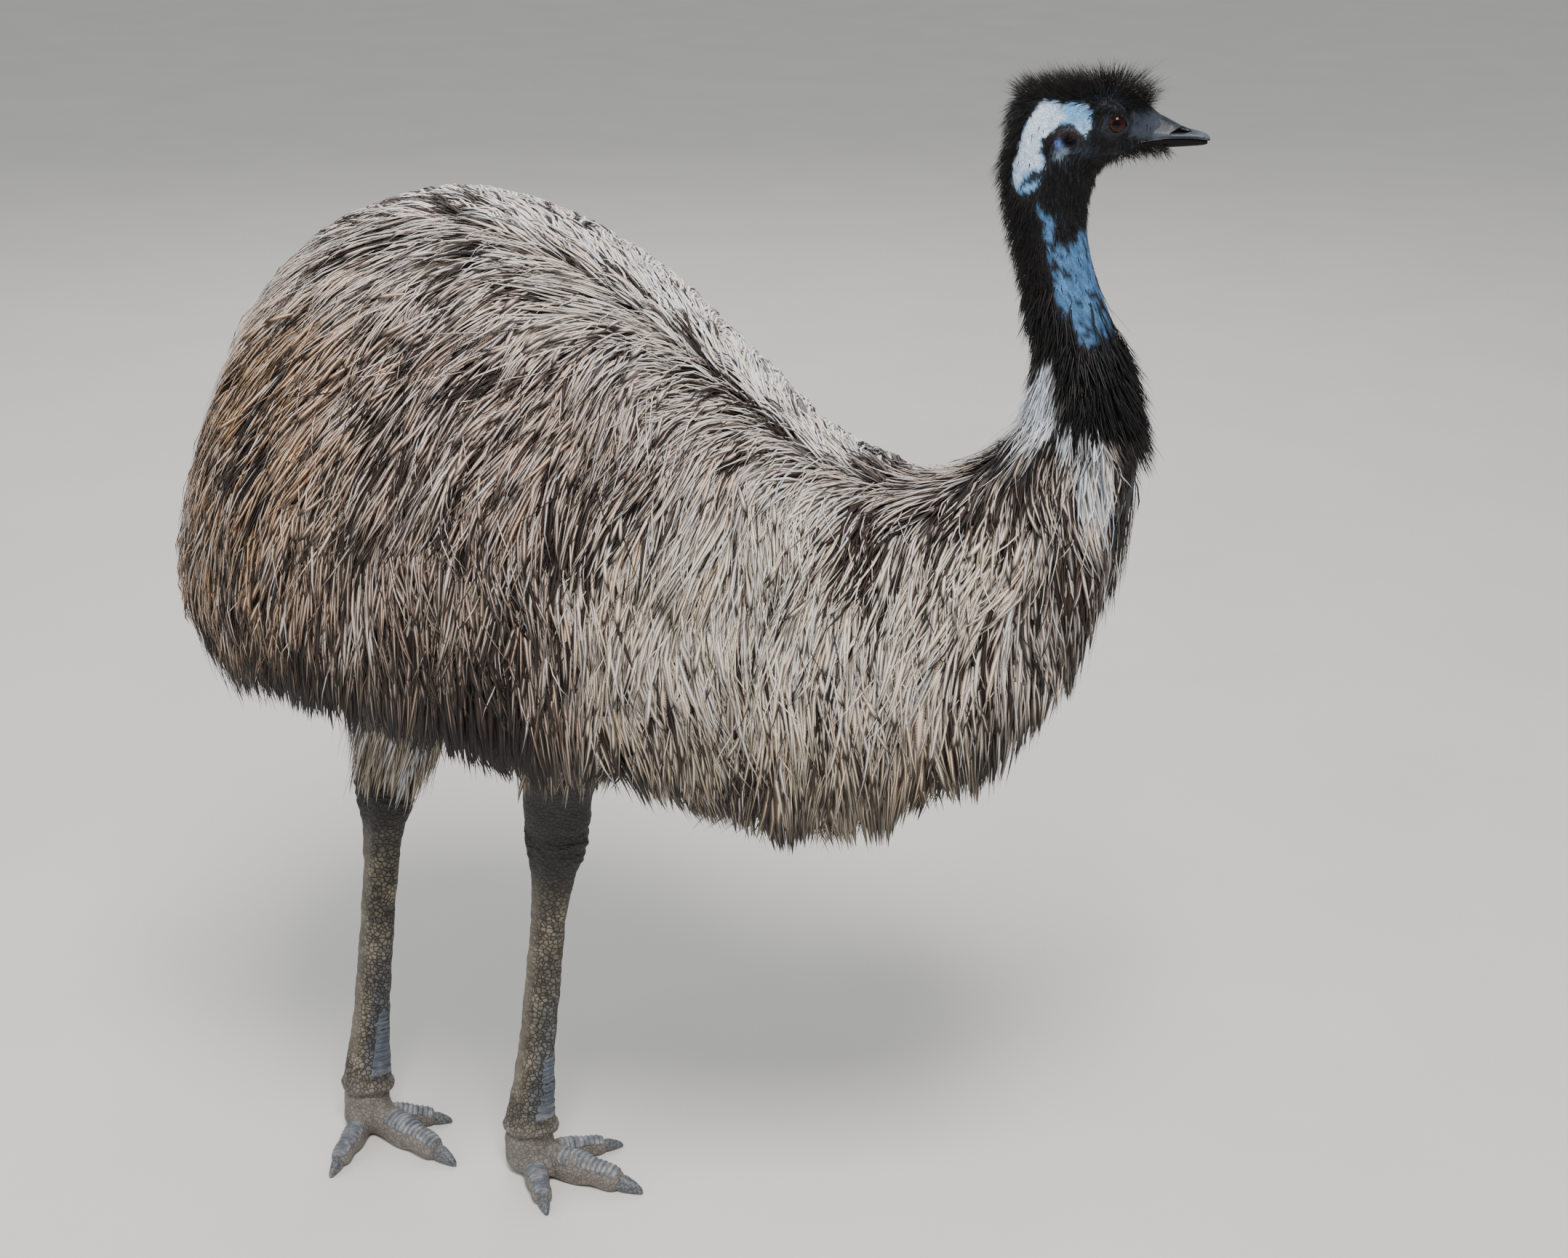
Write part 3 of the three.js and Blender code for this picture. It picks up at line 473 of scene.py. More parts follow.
# %% [markdown]
# A finish is one material, with short ways to add nodes to it: a stored attribute, noise,
# cells, a mix of two colours and a bump. Patterns read the object's own space, so they stay on
# the piece wherever it goes.
# %% A small kit for finishes
class Finish:
    """A material; what never varies over it is given by name."""

    def __init__(self, name, **fixed):
        self.material = bpy.data.materials.new(name)
        self.material.use_nodes = True
        self.tree = self.material.node_tree
        self.shader = self.tree.nodes["Principled BSDF"]
        for socket, value in fixed.items():
            self.shader.inputs[socket.replace("_", " ")].default_value = value

    def node(self, kind, settings=None, values=None):
        made = self.tree.nodes.new(kind)
        for key, value in (settings or {}).items():
            setattr(made, key, value)
        pairs = values.items() if isinstance(values, dict) else enumerate(values or [])
        for key, value in pairs:
            value = value.socket if isinstance(value, Number) else value
            if isinstance(value, bpy.types.NodeSocket):
                self.tree.links.new(value, made.inputs[key])
            else:
                made.inputs[key].default_value = value
        return made

    def number(self, kind, settings, values):
        return Number(self, self.node(kind, settings, values).outputs[0])

    def as_number(self, value):
        return value if isinstance(value, Number) else Number(self, self.constant(value))

    def constant(self, value):
        made = self.tree.nodes.new("ShaderNodeValue")
        made.outputs[0].default_value = value
        return made.outputs[0]

    def attribute(self, name, output="Fac"):
        made = self.node("ShaderNodeAttribute", {"attribute_name": name})
        return made.outputs[output] if output == "Color" else Number(self, made.outputs[output])

    def place(self):
        return self.node("ShaderNodeTexCoord").outputs["Object"]

    def noise(self, scale, detail=3):
        values = {"Vector": self.place(), "Scale": scale, "Detail": detail}
        return self.number("ShaderNodeTexNoise", None, values)

    def cells(self, scale, feature="F1", output="Distance"):
        values = {"Vector": self.place(), "Scale": scale}
        made = self.node("ShaderNodeTexVoronoi", {"feature": feature}, values)
        return Number(self, made.outputs[output])

    def blend(self, factor, a, b, kind="MIX"):
        """Two colours, each a socket or three numbers, mixed by a value."""
        def colour(c):
            return c if isinstance(c, bpy.types.NodeSocket) else (*[float(x) for x in c], 1.0)
        made = self.node("ShaderNodeMix", {"data_type": "RGBA", "blend_type": kind},
                         {0: factor, 6: colour(a), 7: colour(b)})
        return made.outputs[2]

    def feed(self, socket, value):
        value = value.socket if isinstance(value, Number) else value
        self.tree.links.new(value, self.shader.inputs[socket])

    def bump(self, height, strength, distance):
        made = self.node("ShaderNodeBump", None,
                         {"Strength": strength, "Distance": distance, "Height": height})
        self.tree.links.new(made.outputs["Normal"], self.shader.inputs["Normal"])


print("shader kit ready")

# %% [markdown]
# A feather carries its own colour, how dark its tip is, and where a point lies along and
# across it. Its finish lightens the shaft, darkens the tip, darkens the root half as painted
# shade where neighbours cover it, and draws the barbs as fine slanted lines. The lines are read
# from the feather itself, so they follow every bend.
# %% The finish of feathers
def feather_finish(name, barbs=True, shaft=0.8, roughness=0.62, roots=0.8):
    kit = Finish(name, Roughness=roughness, Specular_IOR_Level=0.3)
    tint = kit.attribute("tint", "Color")
    reach = kit.attribute("along")
    side = kit.attribute("across").math("ABSOLUTE")
    light = kit.number("ShaderNodeRGBToBW", None, [tint])
    tip = reach.step(0.62, 0.86) * kit.attribute("tint", "Alpha")
    line = (1 - side.step(0.05, 0.3)) * (1 - tip) * light.step(0.03, 0.2) * shaft
    colour = kit.blend(line, tint, paint("f4e6d6"))
    colour = kit.blend(tip, colour, paint("1b1717"))
    # painted shade: the root half of each feather, under its neighbours, is darkened
    root = reach.step(0.05, 0.5)
    colour = kit.blend((1 - root) * roots, colour, paint("221c19"))
    if barbs:
        slant = (reach * 260 - side * 9).math("SINE")
        gaps = (slant * 0.3 + 0.65) * side.step(0.15, 0.5)
        colour = kit.blend(gaps, colour, (0.5, 0.43, 0.39), "MULTIPLY")
        kit.bump(slant * 0.5 + side * -0.5, 0.25, 0.0006)
    kit.feed("Base Color", colour)
    return kit.material


BODY_FEATHER = feather_finish("plumage_vane")
RIDGE_FEATHER = feather_finish("ridge_vane", barbs=False, shaft=0.3, roughness=0.5, roots=0.3)
BLACK_DOWN = feather_finish("neck_down", barbs=False, shaft=0.06, roughness=0.5)
print("materials:", BODY_FEATHER.name, BLACK_DOWN.name)

# %% [markdown]
# ## The skin of body, neck and head
# A flat grid from the bmesh operators is bent into a tube: its rows run along the bird and
# its columns go round. Merging the doubled points closes the seam, and filling the open ends
# closes the tube.
# %% Bend grids into closed forms
def wrap(bm, rows, columns, place):
    """A grid bent into a closed tube by place(share along, share round), in millimetres."""
    made = bmesh.ops.create_grid(bm, x_segments=rows, y_segments=columns, size=1)["verts"]
    flat = np.array([v.co[:2] for v in made])
    points = metres(place(flat[:, 0] / 2 + 0.5, flat[:, 1] / 2 + 0.5))
    for vert, point in zip(made, points.tolist()):
        vert.co = point
    bmesh.ops.remove_doubles(bm, verts=made, dist=2e-6)
    made = [v for v in made if v.is_valid]
    edges = list({e for v in made for e in v.link_edges})
    bmesh.ops.holes_fill(bm, edges=edges, sides=0)
    faces = list({f for v in made for f in v.link_faces})
    bmesh.ops.recalc_face_normals(bm, faces=faces)


def put_in_scene(name, data):
    thing = bpy.data.objects.new(name, data)
    bpy.context.scene.collection.objects.link(thing)
    return thing


def as_object(name, bm, material=None):
    mesh = bpy.data.meshes.new(name)
    bm.to_mesh(mesh)
    bm.free()
    mesh.polygons.foreach_set("use_smooth", [True] * len(mesh.polygons))
    if material:
        mesh.materials.append(material)
    return put_in_scene(name, mesh)


def feet_points(thing):
    """The mesh's points in millimetres from the floor between the feet."""
    flat = np.empty(len(thing.data.vertices) * 3, np.float32)
    thing.data.vertices.foreach_get("co", flat)
    return (flat.reshape(-1, 3).astype(float) - SHIFT) * 1000


def give_colour(thing, colour):
    """Stores colours on the points of a mesh, with a fourth value: how scaly the skin is, or
    how dark the tip of the feather."""
    layer = thing.data.attributes.new("tint", "FLOAT_COLOR", "POINT")
    layer.data.foreach_set("color", colour.astype(np.float32).ravel())


print("mesh helpers ready")

# %% [markdown]
# The head gets far closer rows than the body, which the coat will hide. What lies lower than
# a metre is smoothed a little.
# %% Body, neck and head
ROWS = np.concatenate([np.linspace(0.35, 12, 50), np.linspace(12, 17, 50)[1:],
                       np.linspace(17, 22, 150)[1:]])


def body_place(along_share, round_share):
    u = np.interp(along_share, np.linspace(0, 1, len(ROWS)), ROWS)
    return skin_point(u, round_share * 2 * math.pi)


def relax(bm, verts):
    bmesh.ops.smooth_vert(bm, verts=verts, factor=0.5, use_axis_x=True, use_axis_y=True,
                          use_axis_z=True)


bm = bmesh.new()
wrap(bm, len(ROWS) - 1, 112, body_place)
relax(bm, [v for v in bm.verts if v.co.z < 1.0])
print("body, neck and head:", len(bm.faces), "faces")

# %% [markdown]
# The eyelids are one ring round each eye. A small loop is carried round the ball, hugging it,
# and the opening is longer than it is tall, with a corner towards the bill.
# %% The lids
def lid_place(side):
    def place(s, t):
        big, small = s * 2 * math.pi, t * 2 * math.pi
        outer = np.cos(small) > 0
        front, rear = np.maximum(0, np.cos(big)) ** 6, np.maximum(0, -np.cos(big)) ** 6
        reach = 9.1 * (1 + 0.13 * front + 0.08 * rear)
        wrinkle = 1 + 0.12 * np.sin(big * 23) * outer
        r = (reach + (1.1 + 1.5 * outer) * np.cos(small)) * wrinkle ** 0.3
        ball = np.sqrt(np.maximum(EYE_RADIUS**2 - np.minimum(reach, 9.9) ** 2, 3))
        y = EYE[1] + ball + 0.7 + 1.25 * np.sin(small) - 0.9 * outer * np.cos(small)
        x = EYE[0] + r * np.cos(big)
        z = EYE[2] + r * np.sin(big) * 0.97
        return np.stack([x, side * y, z], -1)
    return place


for side in (1, -1):
    wrap(bm, 96, 14, lid_place(side))
upper_skin = as_object("upper_skin", bm)
print("with lids:", len(upper_skin.data.polygons), "faces")

# %% [markdown]
# ## The legs
# Each leg is built of simple tubes: the shank, the start of the thigh, the joint of the foot
# and three toes. Rows of numbers give each limb's half widths: place along it, to the side, to
# the front. A smooth curve through the rows gives the widths anywhere.
# %% Rows of the legs
LEGS = {"right": {"foot": (110, -24, 50), "hock": (163, -43, 448), "hip": (196, -98, 700),
                  "toes": {"inner": 34, "middle": -10, "outer": -62}},
        "left": {"foot": (-107, 19, 50), "hock": (-66, 42, 444), "hip": (-14, 98, 700),
                 "toes": {"inner": -92, "middle": -25, "outer": 15}}}
SHANK = [[0.02, 24, 30], [0.12, 21.5, 26.5], [0.25, 18, 22.5], [0.5, 16.5, 20.5],
         [0.75, 17, 21], [0.88, 20, 25], [0.97, 25, 34], [1.04, 24, 34], [1.08, 15, 22]]
THIGH = [[0.0, 21, 31], [0.06, 24, 35], [0.14, 26, 38], [0.24, 28, 38], [0.4, 40, 48],
         [0.62, 52, 62], [0.84, 57, 67]]
HUB = [[1, 17, 21], [6, 22, 27], [26, 24, 29], [46, 23, 28], [66, 20, 24]]
TOES = {"inner": (92, 14, 29), "middle": (118, 18, 38), "outer": (80, 14, 29)}
CLAWS = {"inner": 22, "middle": 27, "outer": 20}
VOXEL = 0.0031
for leg in LEGS.values():
    for joint in ("foot", "hock", "hip"):
        leg[joint] = np.array(leg[joint], float)


def share_of(points, leg):
    """How far points lie along the line from the foot to the hock, as a share."""
    line = leg["hock"] - leg["foot"]
    return ((points - leg["foot"]) @ line) / (line @ line)


def from_to(rows, share):
    """The place along a limb at a share of the way through its rows."""
    return rows[0][0] + share * (rows[-1][0] - rows[0][0])


def blend_rows(rows, at):
    """Rows of numbers read at any place, on a smooth curve through them."""
    rows = np.array(rows, float)
    at = np.clip(at, rows[0, 0], rows[-1, 0])
    slope = np.gradient(rows[:, 1:], rows[:, 0], axis=0)
    i = np.clip(np.searchsorted(rows[:, 0], at, side="right") - 1, 0, len(rows) - 2)
    run = (rows[i + 1, 0] - rows[i, 0])[:, None]
    t = ((at - rows[i, 0]) / run[:, 0])[:, None]
    return curve(t, rows[i, 1:], rows[i + 1, 1:], slope[i], slope[i + 1], run)


print("half widths in the middle of a shank:", blend_rows(SHANK, np.array([0.5])).round(1))

# %% [markdown]
# Each kind of limb has a function that turns a share along it and a share round it into a
# point. The shank has a groove beside the tendon behind, the joint of the foot leans with the
# shank but is cut level, and a toe is flat below with a swelling at each of its joints.
# %% From rows to tubes
def limb_place(start, end, rows, groove=0.0):
    axis = unit(end - start)
    front = unit(np.array([1.0, 0, 0]) - axis * axis[0])
    side = np.cross(axis, front)

    def place(s, t, extra=0.0):
        at = from_to(rows, s)
        wide, deep = blend_rows(rows, at).T
        angle = t * 2 * math.pi
        behind = np.abs((angle - math.pi + 9 * math.pi) % (2 * math.pi) - math.pi)
        tendon = 1 - 0.16 * hill(behind - 0.95, 0.28) * groove
        return (start + (end - start) * at[:, None]
                + front * (np.cos(angle) * (deep + extra) * tendon)[:, None]
                + side * (np.sin(angle) * (wide + extra) * tendon)[:, None])
    return place


def hub_place(leg):
    foot = leg["foot"]
    lean = unit(leg["hock"] - foot)

    def place(s, t):
        z = from_to(HUB, s)
        wide, deep = blend_rows(HUB, z).T
        at = foot + lean * (np.maximum(0, z - foot[2]) / lean[2])[:, None]
        at[:, 2] = z
        at[:, 0] += deep * np.cos(t * 2 * math.pi)
        at[:, 1] += wide * np.sin(t * 2 * math.pi)
        return at
    return place


def toe_rows(name):
    length, half, tall = TOES[name]
    return [[8, 0.9 * half, 1.12 * tall, 0], [0.3 * length, 0.93 * half, tall, 2.5],
            [0.42 * length, half, 0.97 * tall, 0], [0.6 * length, half, 0.9 * tall, 0],
            [0.72 * length, 0.84 * half, 0.8 * tall, 2.5], [0.84 * length, 0.87 * half, 0.75 * tall, 0],
            [0.96 * length, 0.72 * half, 0.62 * tall, 0.3], [length, 0.5 * half, 0.5 * tall, 1.5]]


def toe_way(leg, name):
    """The way that a toe points, flat on the floor."""
    yaw = math.radians(leg["toes"][name])
    return np.array([math.cos(yaw), math.sin(yaw), 0])


def toe_place(leg, name, rows):
    foot = leg["foot"] * np.array([1, 1, 0])
    forward = toe_way(leg, name)
    side = np.array([-forward[1], forward[0], 0])

    def place(s, t, extra=0.0):
        at = from_to(rows, s)
        half, tall, under = blend_rows(rows, at).T
        angle = t * 2 * math.pi - math.pi / 2
        rise = np.maximum(0, np.sin(angle) * 0.6 + 0.4)
        z = under + (tall - under) * rise + extra * np.maximum(0, np.sin(angle) + 0.3)
        return (foot + forward * at[:, None] - side * ((half + extra * 0.8) * np.cos(angle))[:, None]
                + np.array([0, 0, 1.0]) * z[:, None])
    return place


print("the middle toe has", len(toe_rows("middle")), "rows")

# %% [markdown]
# A voxel remesh melts the tubes into one skin without inner walls, which would be hard to do
# by joining edges by hand.
# %% Melt the tubes
bm = bmesh.new()
for leg in LEGS.values():
    wrap(bm, 120, 40, limb_place(leg["foot"], leg["hock"], SHANK, 1.0))
    wrap(bm, 60, 48, limb_place(leg["hock"], leg["hip"], THIGH))
    wrap(bm, 24, 40, hub_place(leg))
    for name in TOES:
        wrap(bm, 40, 36, toe_place(leg, name, toe_rows(name)))
legs = as_object("legs", bm)
remesh = legs.modifiers.new("melt", "REMESH")
remesh.mode, remesh.voxel_size = "VOXEL", VOXEL
bpy.context.view_layer.update()
melted = bpy.data.meshes.new_from_object(legs.evaluated_get(bpy.context.evaluated_depsgraph_get()))
legs.modifiers.clear()
legs.data = melted
print("legs:", len(melted.polygons), "faces")

# %% [markdown]
# The melted legs are smoothed and then shaped a little more, point by point along their own
# directions: the cuff of skin that overhangs the toes, the deep creases of the hock, and a
# slight unevenness all over.
# %% Smooth and crease the legs
bm = bmesh.new()
bm.from_mesh(legs.data)
for _ in range(4):
    relax(bm, bm.verts)
bm.normal_update()
spots = (np.array([v.co for v in bm.verts]) - SHIFT) * 1000
normals = np.array([v.normal for v in bm.verts])
push = np.zeros(len(spots))
for leg in LEGS.values():
    foot, hock = leg["foot"], leg["hock"]
    near = smooth(-np.hypot(spots[:, 0] - foot[0], spots[:, 1] - foot[1]), -90, -60)
    edge = 57 + 4 * np.sin((spots[:, 0] - foot[0]) / 14) - 0.12 * (spots[:, 0] - foot[0])
    push += near * (3.6 * hill(spots[:, 2] - edge - 3, 5.5) - 2.4 * hill(spots[:, 2] - edge + 5, 2.6))
    share = share_of(spots, leg)
    close = np.linalg.norm(spots - hock, axis=1) < 75
    wave = np.sin((share + 0.02 * ripple(spots, 20)) * 190)
    push += close * (0.35 + 0.65 * np.abs(normals[:, 0])) * wave * hill(share - 1.0, 0.085)
push += 0.5 * ripple(spots, 9) + 0.9 * ripple(spots, 26)
push *= smooth(spots[:, 2], 1, 12)
for vert, shift in zip(bm.verts, (normals * push[:, None] / 1000).tolist()):
    vert.co += Vector(shift)
    vert.co.z = max(vert.co.z, float(SHIFT[2]))
bm.to_mesh(legs.data)
bm.free()
low = feet_points(legs)[:, 2].min()
print("lowest point of the legs:", round(low, 2), "mm")

# %% [markdown]
# Blue-grey scutes run along the top of each toe and climb the lowest front of the shank. Each
# is a plate of its own, low behind and high in front, so that it overlaps the next like a tile.
# %% Scutes
def plate(bm, place, start, end, centre, width, rise):
    """One plate on the surface given by place(along, round), over a part of its length."""
    def bent(s, t):
        angle = t * 2 * math.pi
        off = np.sin(angle) * width
        crown = np.cos(angle) > 0
        rim = np.clip(1 - (off / width) ** 2, 0, 1) ** 0.35
        rounding = np.clip(1 - (2 * s - 1) ** 8, 0, 1) ** 0.5
        up = np.where(crown, rise * (0.25 + 0.75 * s) * rim * rounding - 0.6, -2.2)
        bow = 0.18 * (end - start) * (1 - (off / width) ** 2)
        return place(start + (end - start) * s + bow, centre + off, up)
    wrap(bm, 9, 22, bent)


SCUTES = {"inner": 9, "middle": 12, "outer": 8}
TOE_FROM, TOE_RUN = 0.3, 0.66  # where the row of a toe starts, and its length, as shares
SHANK_FROM, SHANK_STEP, SHANK_COUNT = 0.05, 0.028, 7
bm = bmesh.new()
for leg in LEGS.values():
    shank = limb_place(leg["foot"], leg["hock"], SHANK, 1.0)
    for i in range(SHANK_COUNT):
        start = SHANK_FROM + i * SHANK_STEP
        plate(bm, shank, start, start + 0.03, -0.08, 0.1 - 0.006 * i, 3.3 - 0.2 * i)
    for name, count in SCUTES.items():
        toe = toe_place(leg, name, toe_rows(name))
        for i in range(count):
            start = TOE_FROM + i * TOE_RUN / count
            plate(bm, toe, start, start + TOE_RUN / count, 0.5, 0.165 - 0.04 * i / count, 2.2)
plates = as_object("plates", bm)
print("scutes:", len(plates.data.polygons), "faces")

# %% [markdown]
# ## Colour of the skin
# One function per region paints the points of the skin. The legs are grey-brown and pebbly,
# darker on the hocks and smoother and paler behind; the scutes are blue-grey, with painted
# shade in the gaps between them.
# %% Paint legs and scutes
def leg_skin(points):
    x, y, z = points.T
    grain = ripple(points, 8)[:, None] + 0.8 * ripple(points, 4.5, 2)[:, None]
    hocks = smooth(z + 10 * grain[:, 0], 345, 425)
    low = 1 - smooth(z, 40, 90)
    tone = layered(paint("605b50"), ("827b6d", smooth(ripple(points, 30, 5), -0.5, 0.8)),
                   ("171514", 0.94 * hocks), ("7f7871", 0.85 * low))
    rear = np.zeros(len(points))
    for leg in LEGS.values():
        foot, hock = leg["foot"], leg["hock"]
        share = np.clip((z - foot[2]) / (hock[2] - foot[2]), 0, 1)
        behind = foot[0] + (hock[0] - foot[0]) * share - x
        middle = foot[1] + (hock[1] - foot[1]) * share
        here = np.abs(behind) < 45
        back = here * smooth(behind, 2, 16) * smooth(z, 80, 130) * (1 - smooth(z, 370, 420))
        rear = np.maximum(rear, back)
        front = here * smooth(-0.8 * behind - 0.6 * (y - middle), 9, 18)
        blue = front * smooth(z, 70, 100) * (1 - smooth(z, 150, 330))
        tone = layered(tone, ("4d5663", 0.7 * blue))
    tone = layered(tone, ("786f5d", 0.55 * rear))
    tone = np.clip(tone * (1 + mix(0.2, 0.1, low[:, None]) * grain), 0.004, 1)
    return np.column_stack([tone, (1 - 0.75 * rear) * (1 - 0.62 * low) * (1 - 0.25 * hocks)])


def scute_gap_shade(points):
    """1 in the gaps between plates, where shade is painted, 0 on them."""
    gap = np.zeros(len(points))
    for leg in LEGS.values():
        foot = leg["foot"]
        phase = np.abs(((share_of(points, leg) - SHANK_FROM) / SHANK_STEP) % 1 - 0.5)
        near = np.hypot(points[:, 0] - foot[0], points[:, 1] - foot[1]) < 130
        gap = np.where(near & (points[:, 2] > 68), smooth(phase, 0.3, 0.5), gap)
        for name, count in SCUTES.items():
            way = toe_way(leg, name)
            reach = (points - foot) @ way
            off = np.linalg.norm((points - foot)[:, :2] - reach[:, None] * way[:2], axis=1)
            share = (reach - 8) / (TOES[name][0] - 8)
            phase = np.abs(((share - TOE_FROM) / (TOE_RUN / count)) % 1 - 0.5)
            here = near & (points[:, 2] <= 68) & (off < 15) & (reach > 5)
            gap = np.where(here, smooth(phase, 0.28, 0.5), gap)
    return gap


def scute_skin(points):
    z = points[:, 2]
    tone = layered(paint("72767b"), ("a0a4a8", smooth(ripple(points, 9), -0.6, 0.6)),
                   ("49525d", 0.75 * smooth(z, 60, 110)),
                   # painted shade in the gaps between the plates
                   ("33373c", scute_gap_shade(points) * mix(0.5, 0.85, smooth(z, 60, 75))))
    return np.column_stack([tone, np.full(len(points), 0.15)])


give_colour(legs, leg_skin(feet_points(legs)))
give_colour(plates, scute_skin(feet_points(plates)))
print("painted", len(legs.data.vertices), "points of the legs")

# %% [markdown]
# Under the coat the skin takes the plumage's colours, darkened as painted shade, so that gaps
# between the feathers look deep. Bare skin of neck and head has its own markings, the rims of
# the eyes are black, and the ear holes are painted black as shade in the hole.
# %% Paint the upper skin
spots = feet_points(upper_skin)
section = 8 + 14 * smooth(spots[:, 0], 560, 620)
on_head = spots[:, 2] > 1200
bare = smooth(spots[:, 2] - 0.5 * (spots[:, 0] - 690), 900, 925) * (section > 15)
# the plumage's colours at 0.3 are painted shade for the skin under the coat
colour = layered(plumage(spots, section, np.full(len(spots), 1.5))[0] * 0.3,
                 (head_skin(spots), bare),
                 ("0d0b0b", (1 - smooth(away(spots, (EYE[0], EYE[2])), 11.5, 17)) * on_head),
                 # painted shade: the ear hole is painted near black
                 ("050405", hill(away(spots, EAR) - 0.5, 6.5) ** 2 * on_head))
give_colour(upper_skin, np.column_stack([colour, np.zeros(len(spots))]))
print("painted", len(spots), "points of the upper skin")

# %% [markdown]
# All skin is one object in the end. Its finish reads the painted colour, adds pores and fine
# wrinkles to bare skin, with painted shade in their creases, and rounds pebbles from a cell
# pattern where the skin is scaly, with painted shade at their edges and painted light on their
# middles.
# %% One skin
PEBBLES = 180  # cells to a metre, about 5 mm each


def skin_finish():
    kit = Finish("skin", Roughness=0.6, Specular_IOR_Level=0.4)
    tint = kit.attribute("tint", "Color")
    scaly = kit.attribute("tint", "Alpha")
    pebble = kit.cells(PEBBLES)
    edge = kit.cells(PEBBLES, "DISTANCE_TO_EDGE").step(0.0, 0.16)
    each = kit.cells(PEBBLES, output="Color")
    fine = kit.noise(900, 4)
    folds = kit.noise(160, 3)
    spotted = kit.blend(each.step(0.62, 0.72) * scaly * 0.55, tint, paint("2b2a2b"))
    # painted shade at the edges of the pebbles; the next line paints light on their middles
    shade = kit.blend((1 - edge) * scaly * 0.85, spotted, paint("161310"))
    light = kit.blend(((1 - pebble) * 0.35 + fine * 0.3) * scaly, shade, paint("c9c2b2"), "SOFT_LIGHT")
    light = kit.blend((fine - 0.5) * 0.5 * (1 - scaly), light, paint("0a0a0c"))
    # painted shade: the creases of the wrinkles are darkened blue
    crease = (kit.noise(330, 4) - 0.5).math("ABSOLUTE").step(0.0, 0.08)
    light = kit.blend((1 - crease) * (1 - scaly) * 0.42, light, paint("24405e"))
    kit.feed("Base Color", light)
    height = edge * scaly * 1.2 + (folds * 0.35 + crease * 0.14) * (1 - scaly) + fine * 0.25
    kit.bump(height, 0.75, 0.0017)
    kit.feed("Roughness", 0.5 + fine * 0.25)
    return kit.material


SKIN = skin_finish()
for piece in (upper_skin, legs, plates):
    piece.data.materials.clear()
    piece.data.materials.append(SKIN)
with bpy.context.temp_override(active_object=upper_skin, object=upper_skin,
                               selected_editable_objects=[upper_skin, legs, plates]):
    bpy.ops.object.join()
skin = upper_skin
skin.name = skin.data.name = "skin"
FLESH = ["torso", "breast", "tail_plumage", "neck_lower", "neck_upper", "head"]
for side in ("left", "right"):
    FLESH += [f"{part}_{side}" for part in ("thigh", "shank", "foot")]
    FLESH += [f"toe_{name}_{side}" for name in TOES]
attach(skin, "root")
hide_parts(*FLESH)
print("skin:", len(skin.data.polygons), "faces")

# %% [markdown]
# ## Claws, bill and eyes
# These stay pieces of their own, because each is a different stuff from skin. The claws are
# blunt cones of dark horn, a little worn at the tip.
# %% Claws
def horn_finish(name, dark, light, roughness, shine=0.5, painted=False):
    kit = Finish(name, Roughness=roughness, Specular_IOR_Level=shine)
    streak = kit.noise(420, 5)
    colour = kit.blend(streak.step(0.35, 0.7), dark, light)
    if painted:
        colour = kit.blend(1.0, colour, kit.attribute("tint", "Color"), "MULTIPLY")
    kit.feed("Base Color", colour)
    kit.bump(kit.noise(1500, 3) * 0.5 + streak, 0.25, 0.0005)
    kit.feed("Roughness", roughness + (streak - 0.5) * 0.3)
    return kit.material


CLAW = horn_finish("claw", paint("3b3f43"), paint("6d7174"), 0.5)
for side, leg in LEGS.items():
    for name, claw_length in CLAWS.items():
        length, half, tall = TOES[name]
        start = length - 4
        rows = [[start, half * 0.46, tall * 0.47, 1.2], [length + 3, half * 0.5, tall * 0.5, 0.4],
                [length + claw_length * 0.4, half * 0.42, tall * 0.43, 0],
                [length + claw_length * 0.75, half * 0.27, tall * 0.29, 0],
                [length + claw_length * 0.95, half * 0.12, tall * 0.15, 0.3],
                [length + claw_length, half * 0.02, tall * 0.06, 0.9]]
        bm = bmesh.new()
        wrap(bm, 26, 28, toe_place(leg, name, rows))
        claw = as_object(f"claw_{name}_{side}_horn", bm, CLAW)
        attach(claw, "root")
        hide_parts(f"claw_{name}_{side}")
print("claws:", len(CLAWS) * 2)

# %% [markdown]
# The bill is two halves that meet in the line of the mouth. Each is a tube bent from a grid,
# half round outside and flat inside. The upper half has the ridge of the culmen, a long open
# nostril with a raised edge, and a tip that bends a little over the lower one.
# %% Bill
NOSTRIL = [(778.5, 1228.2), (784, 1231.6), (788.5, 1234.4), (793, 1232.6), (797.5, 1229.8),
           (790, 1228.3)]
HOLLOW = [(764, 1237.5), (777, 1235)]
BILL_FROM, BILL_TO, OVERHANG, GAP = 748, 814.5, 2.2, 0.15


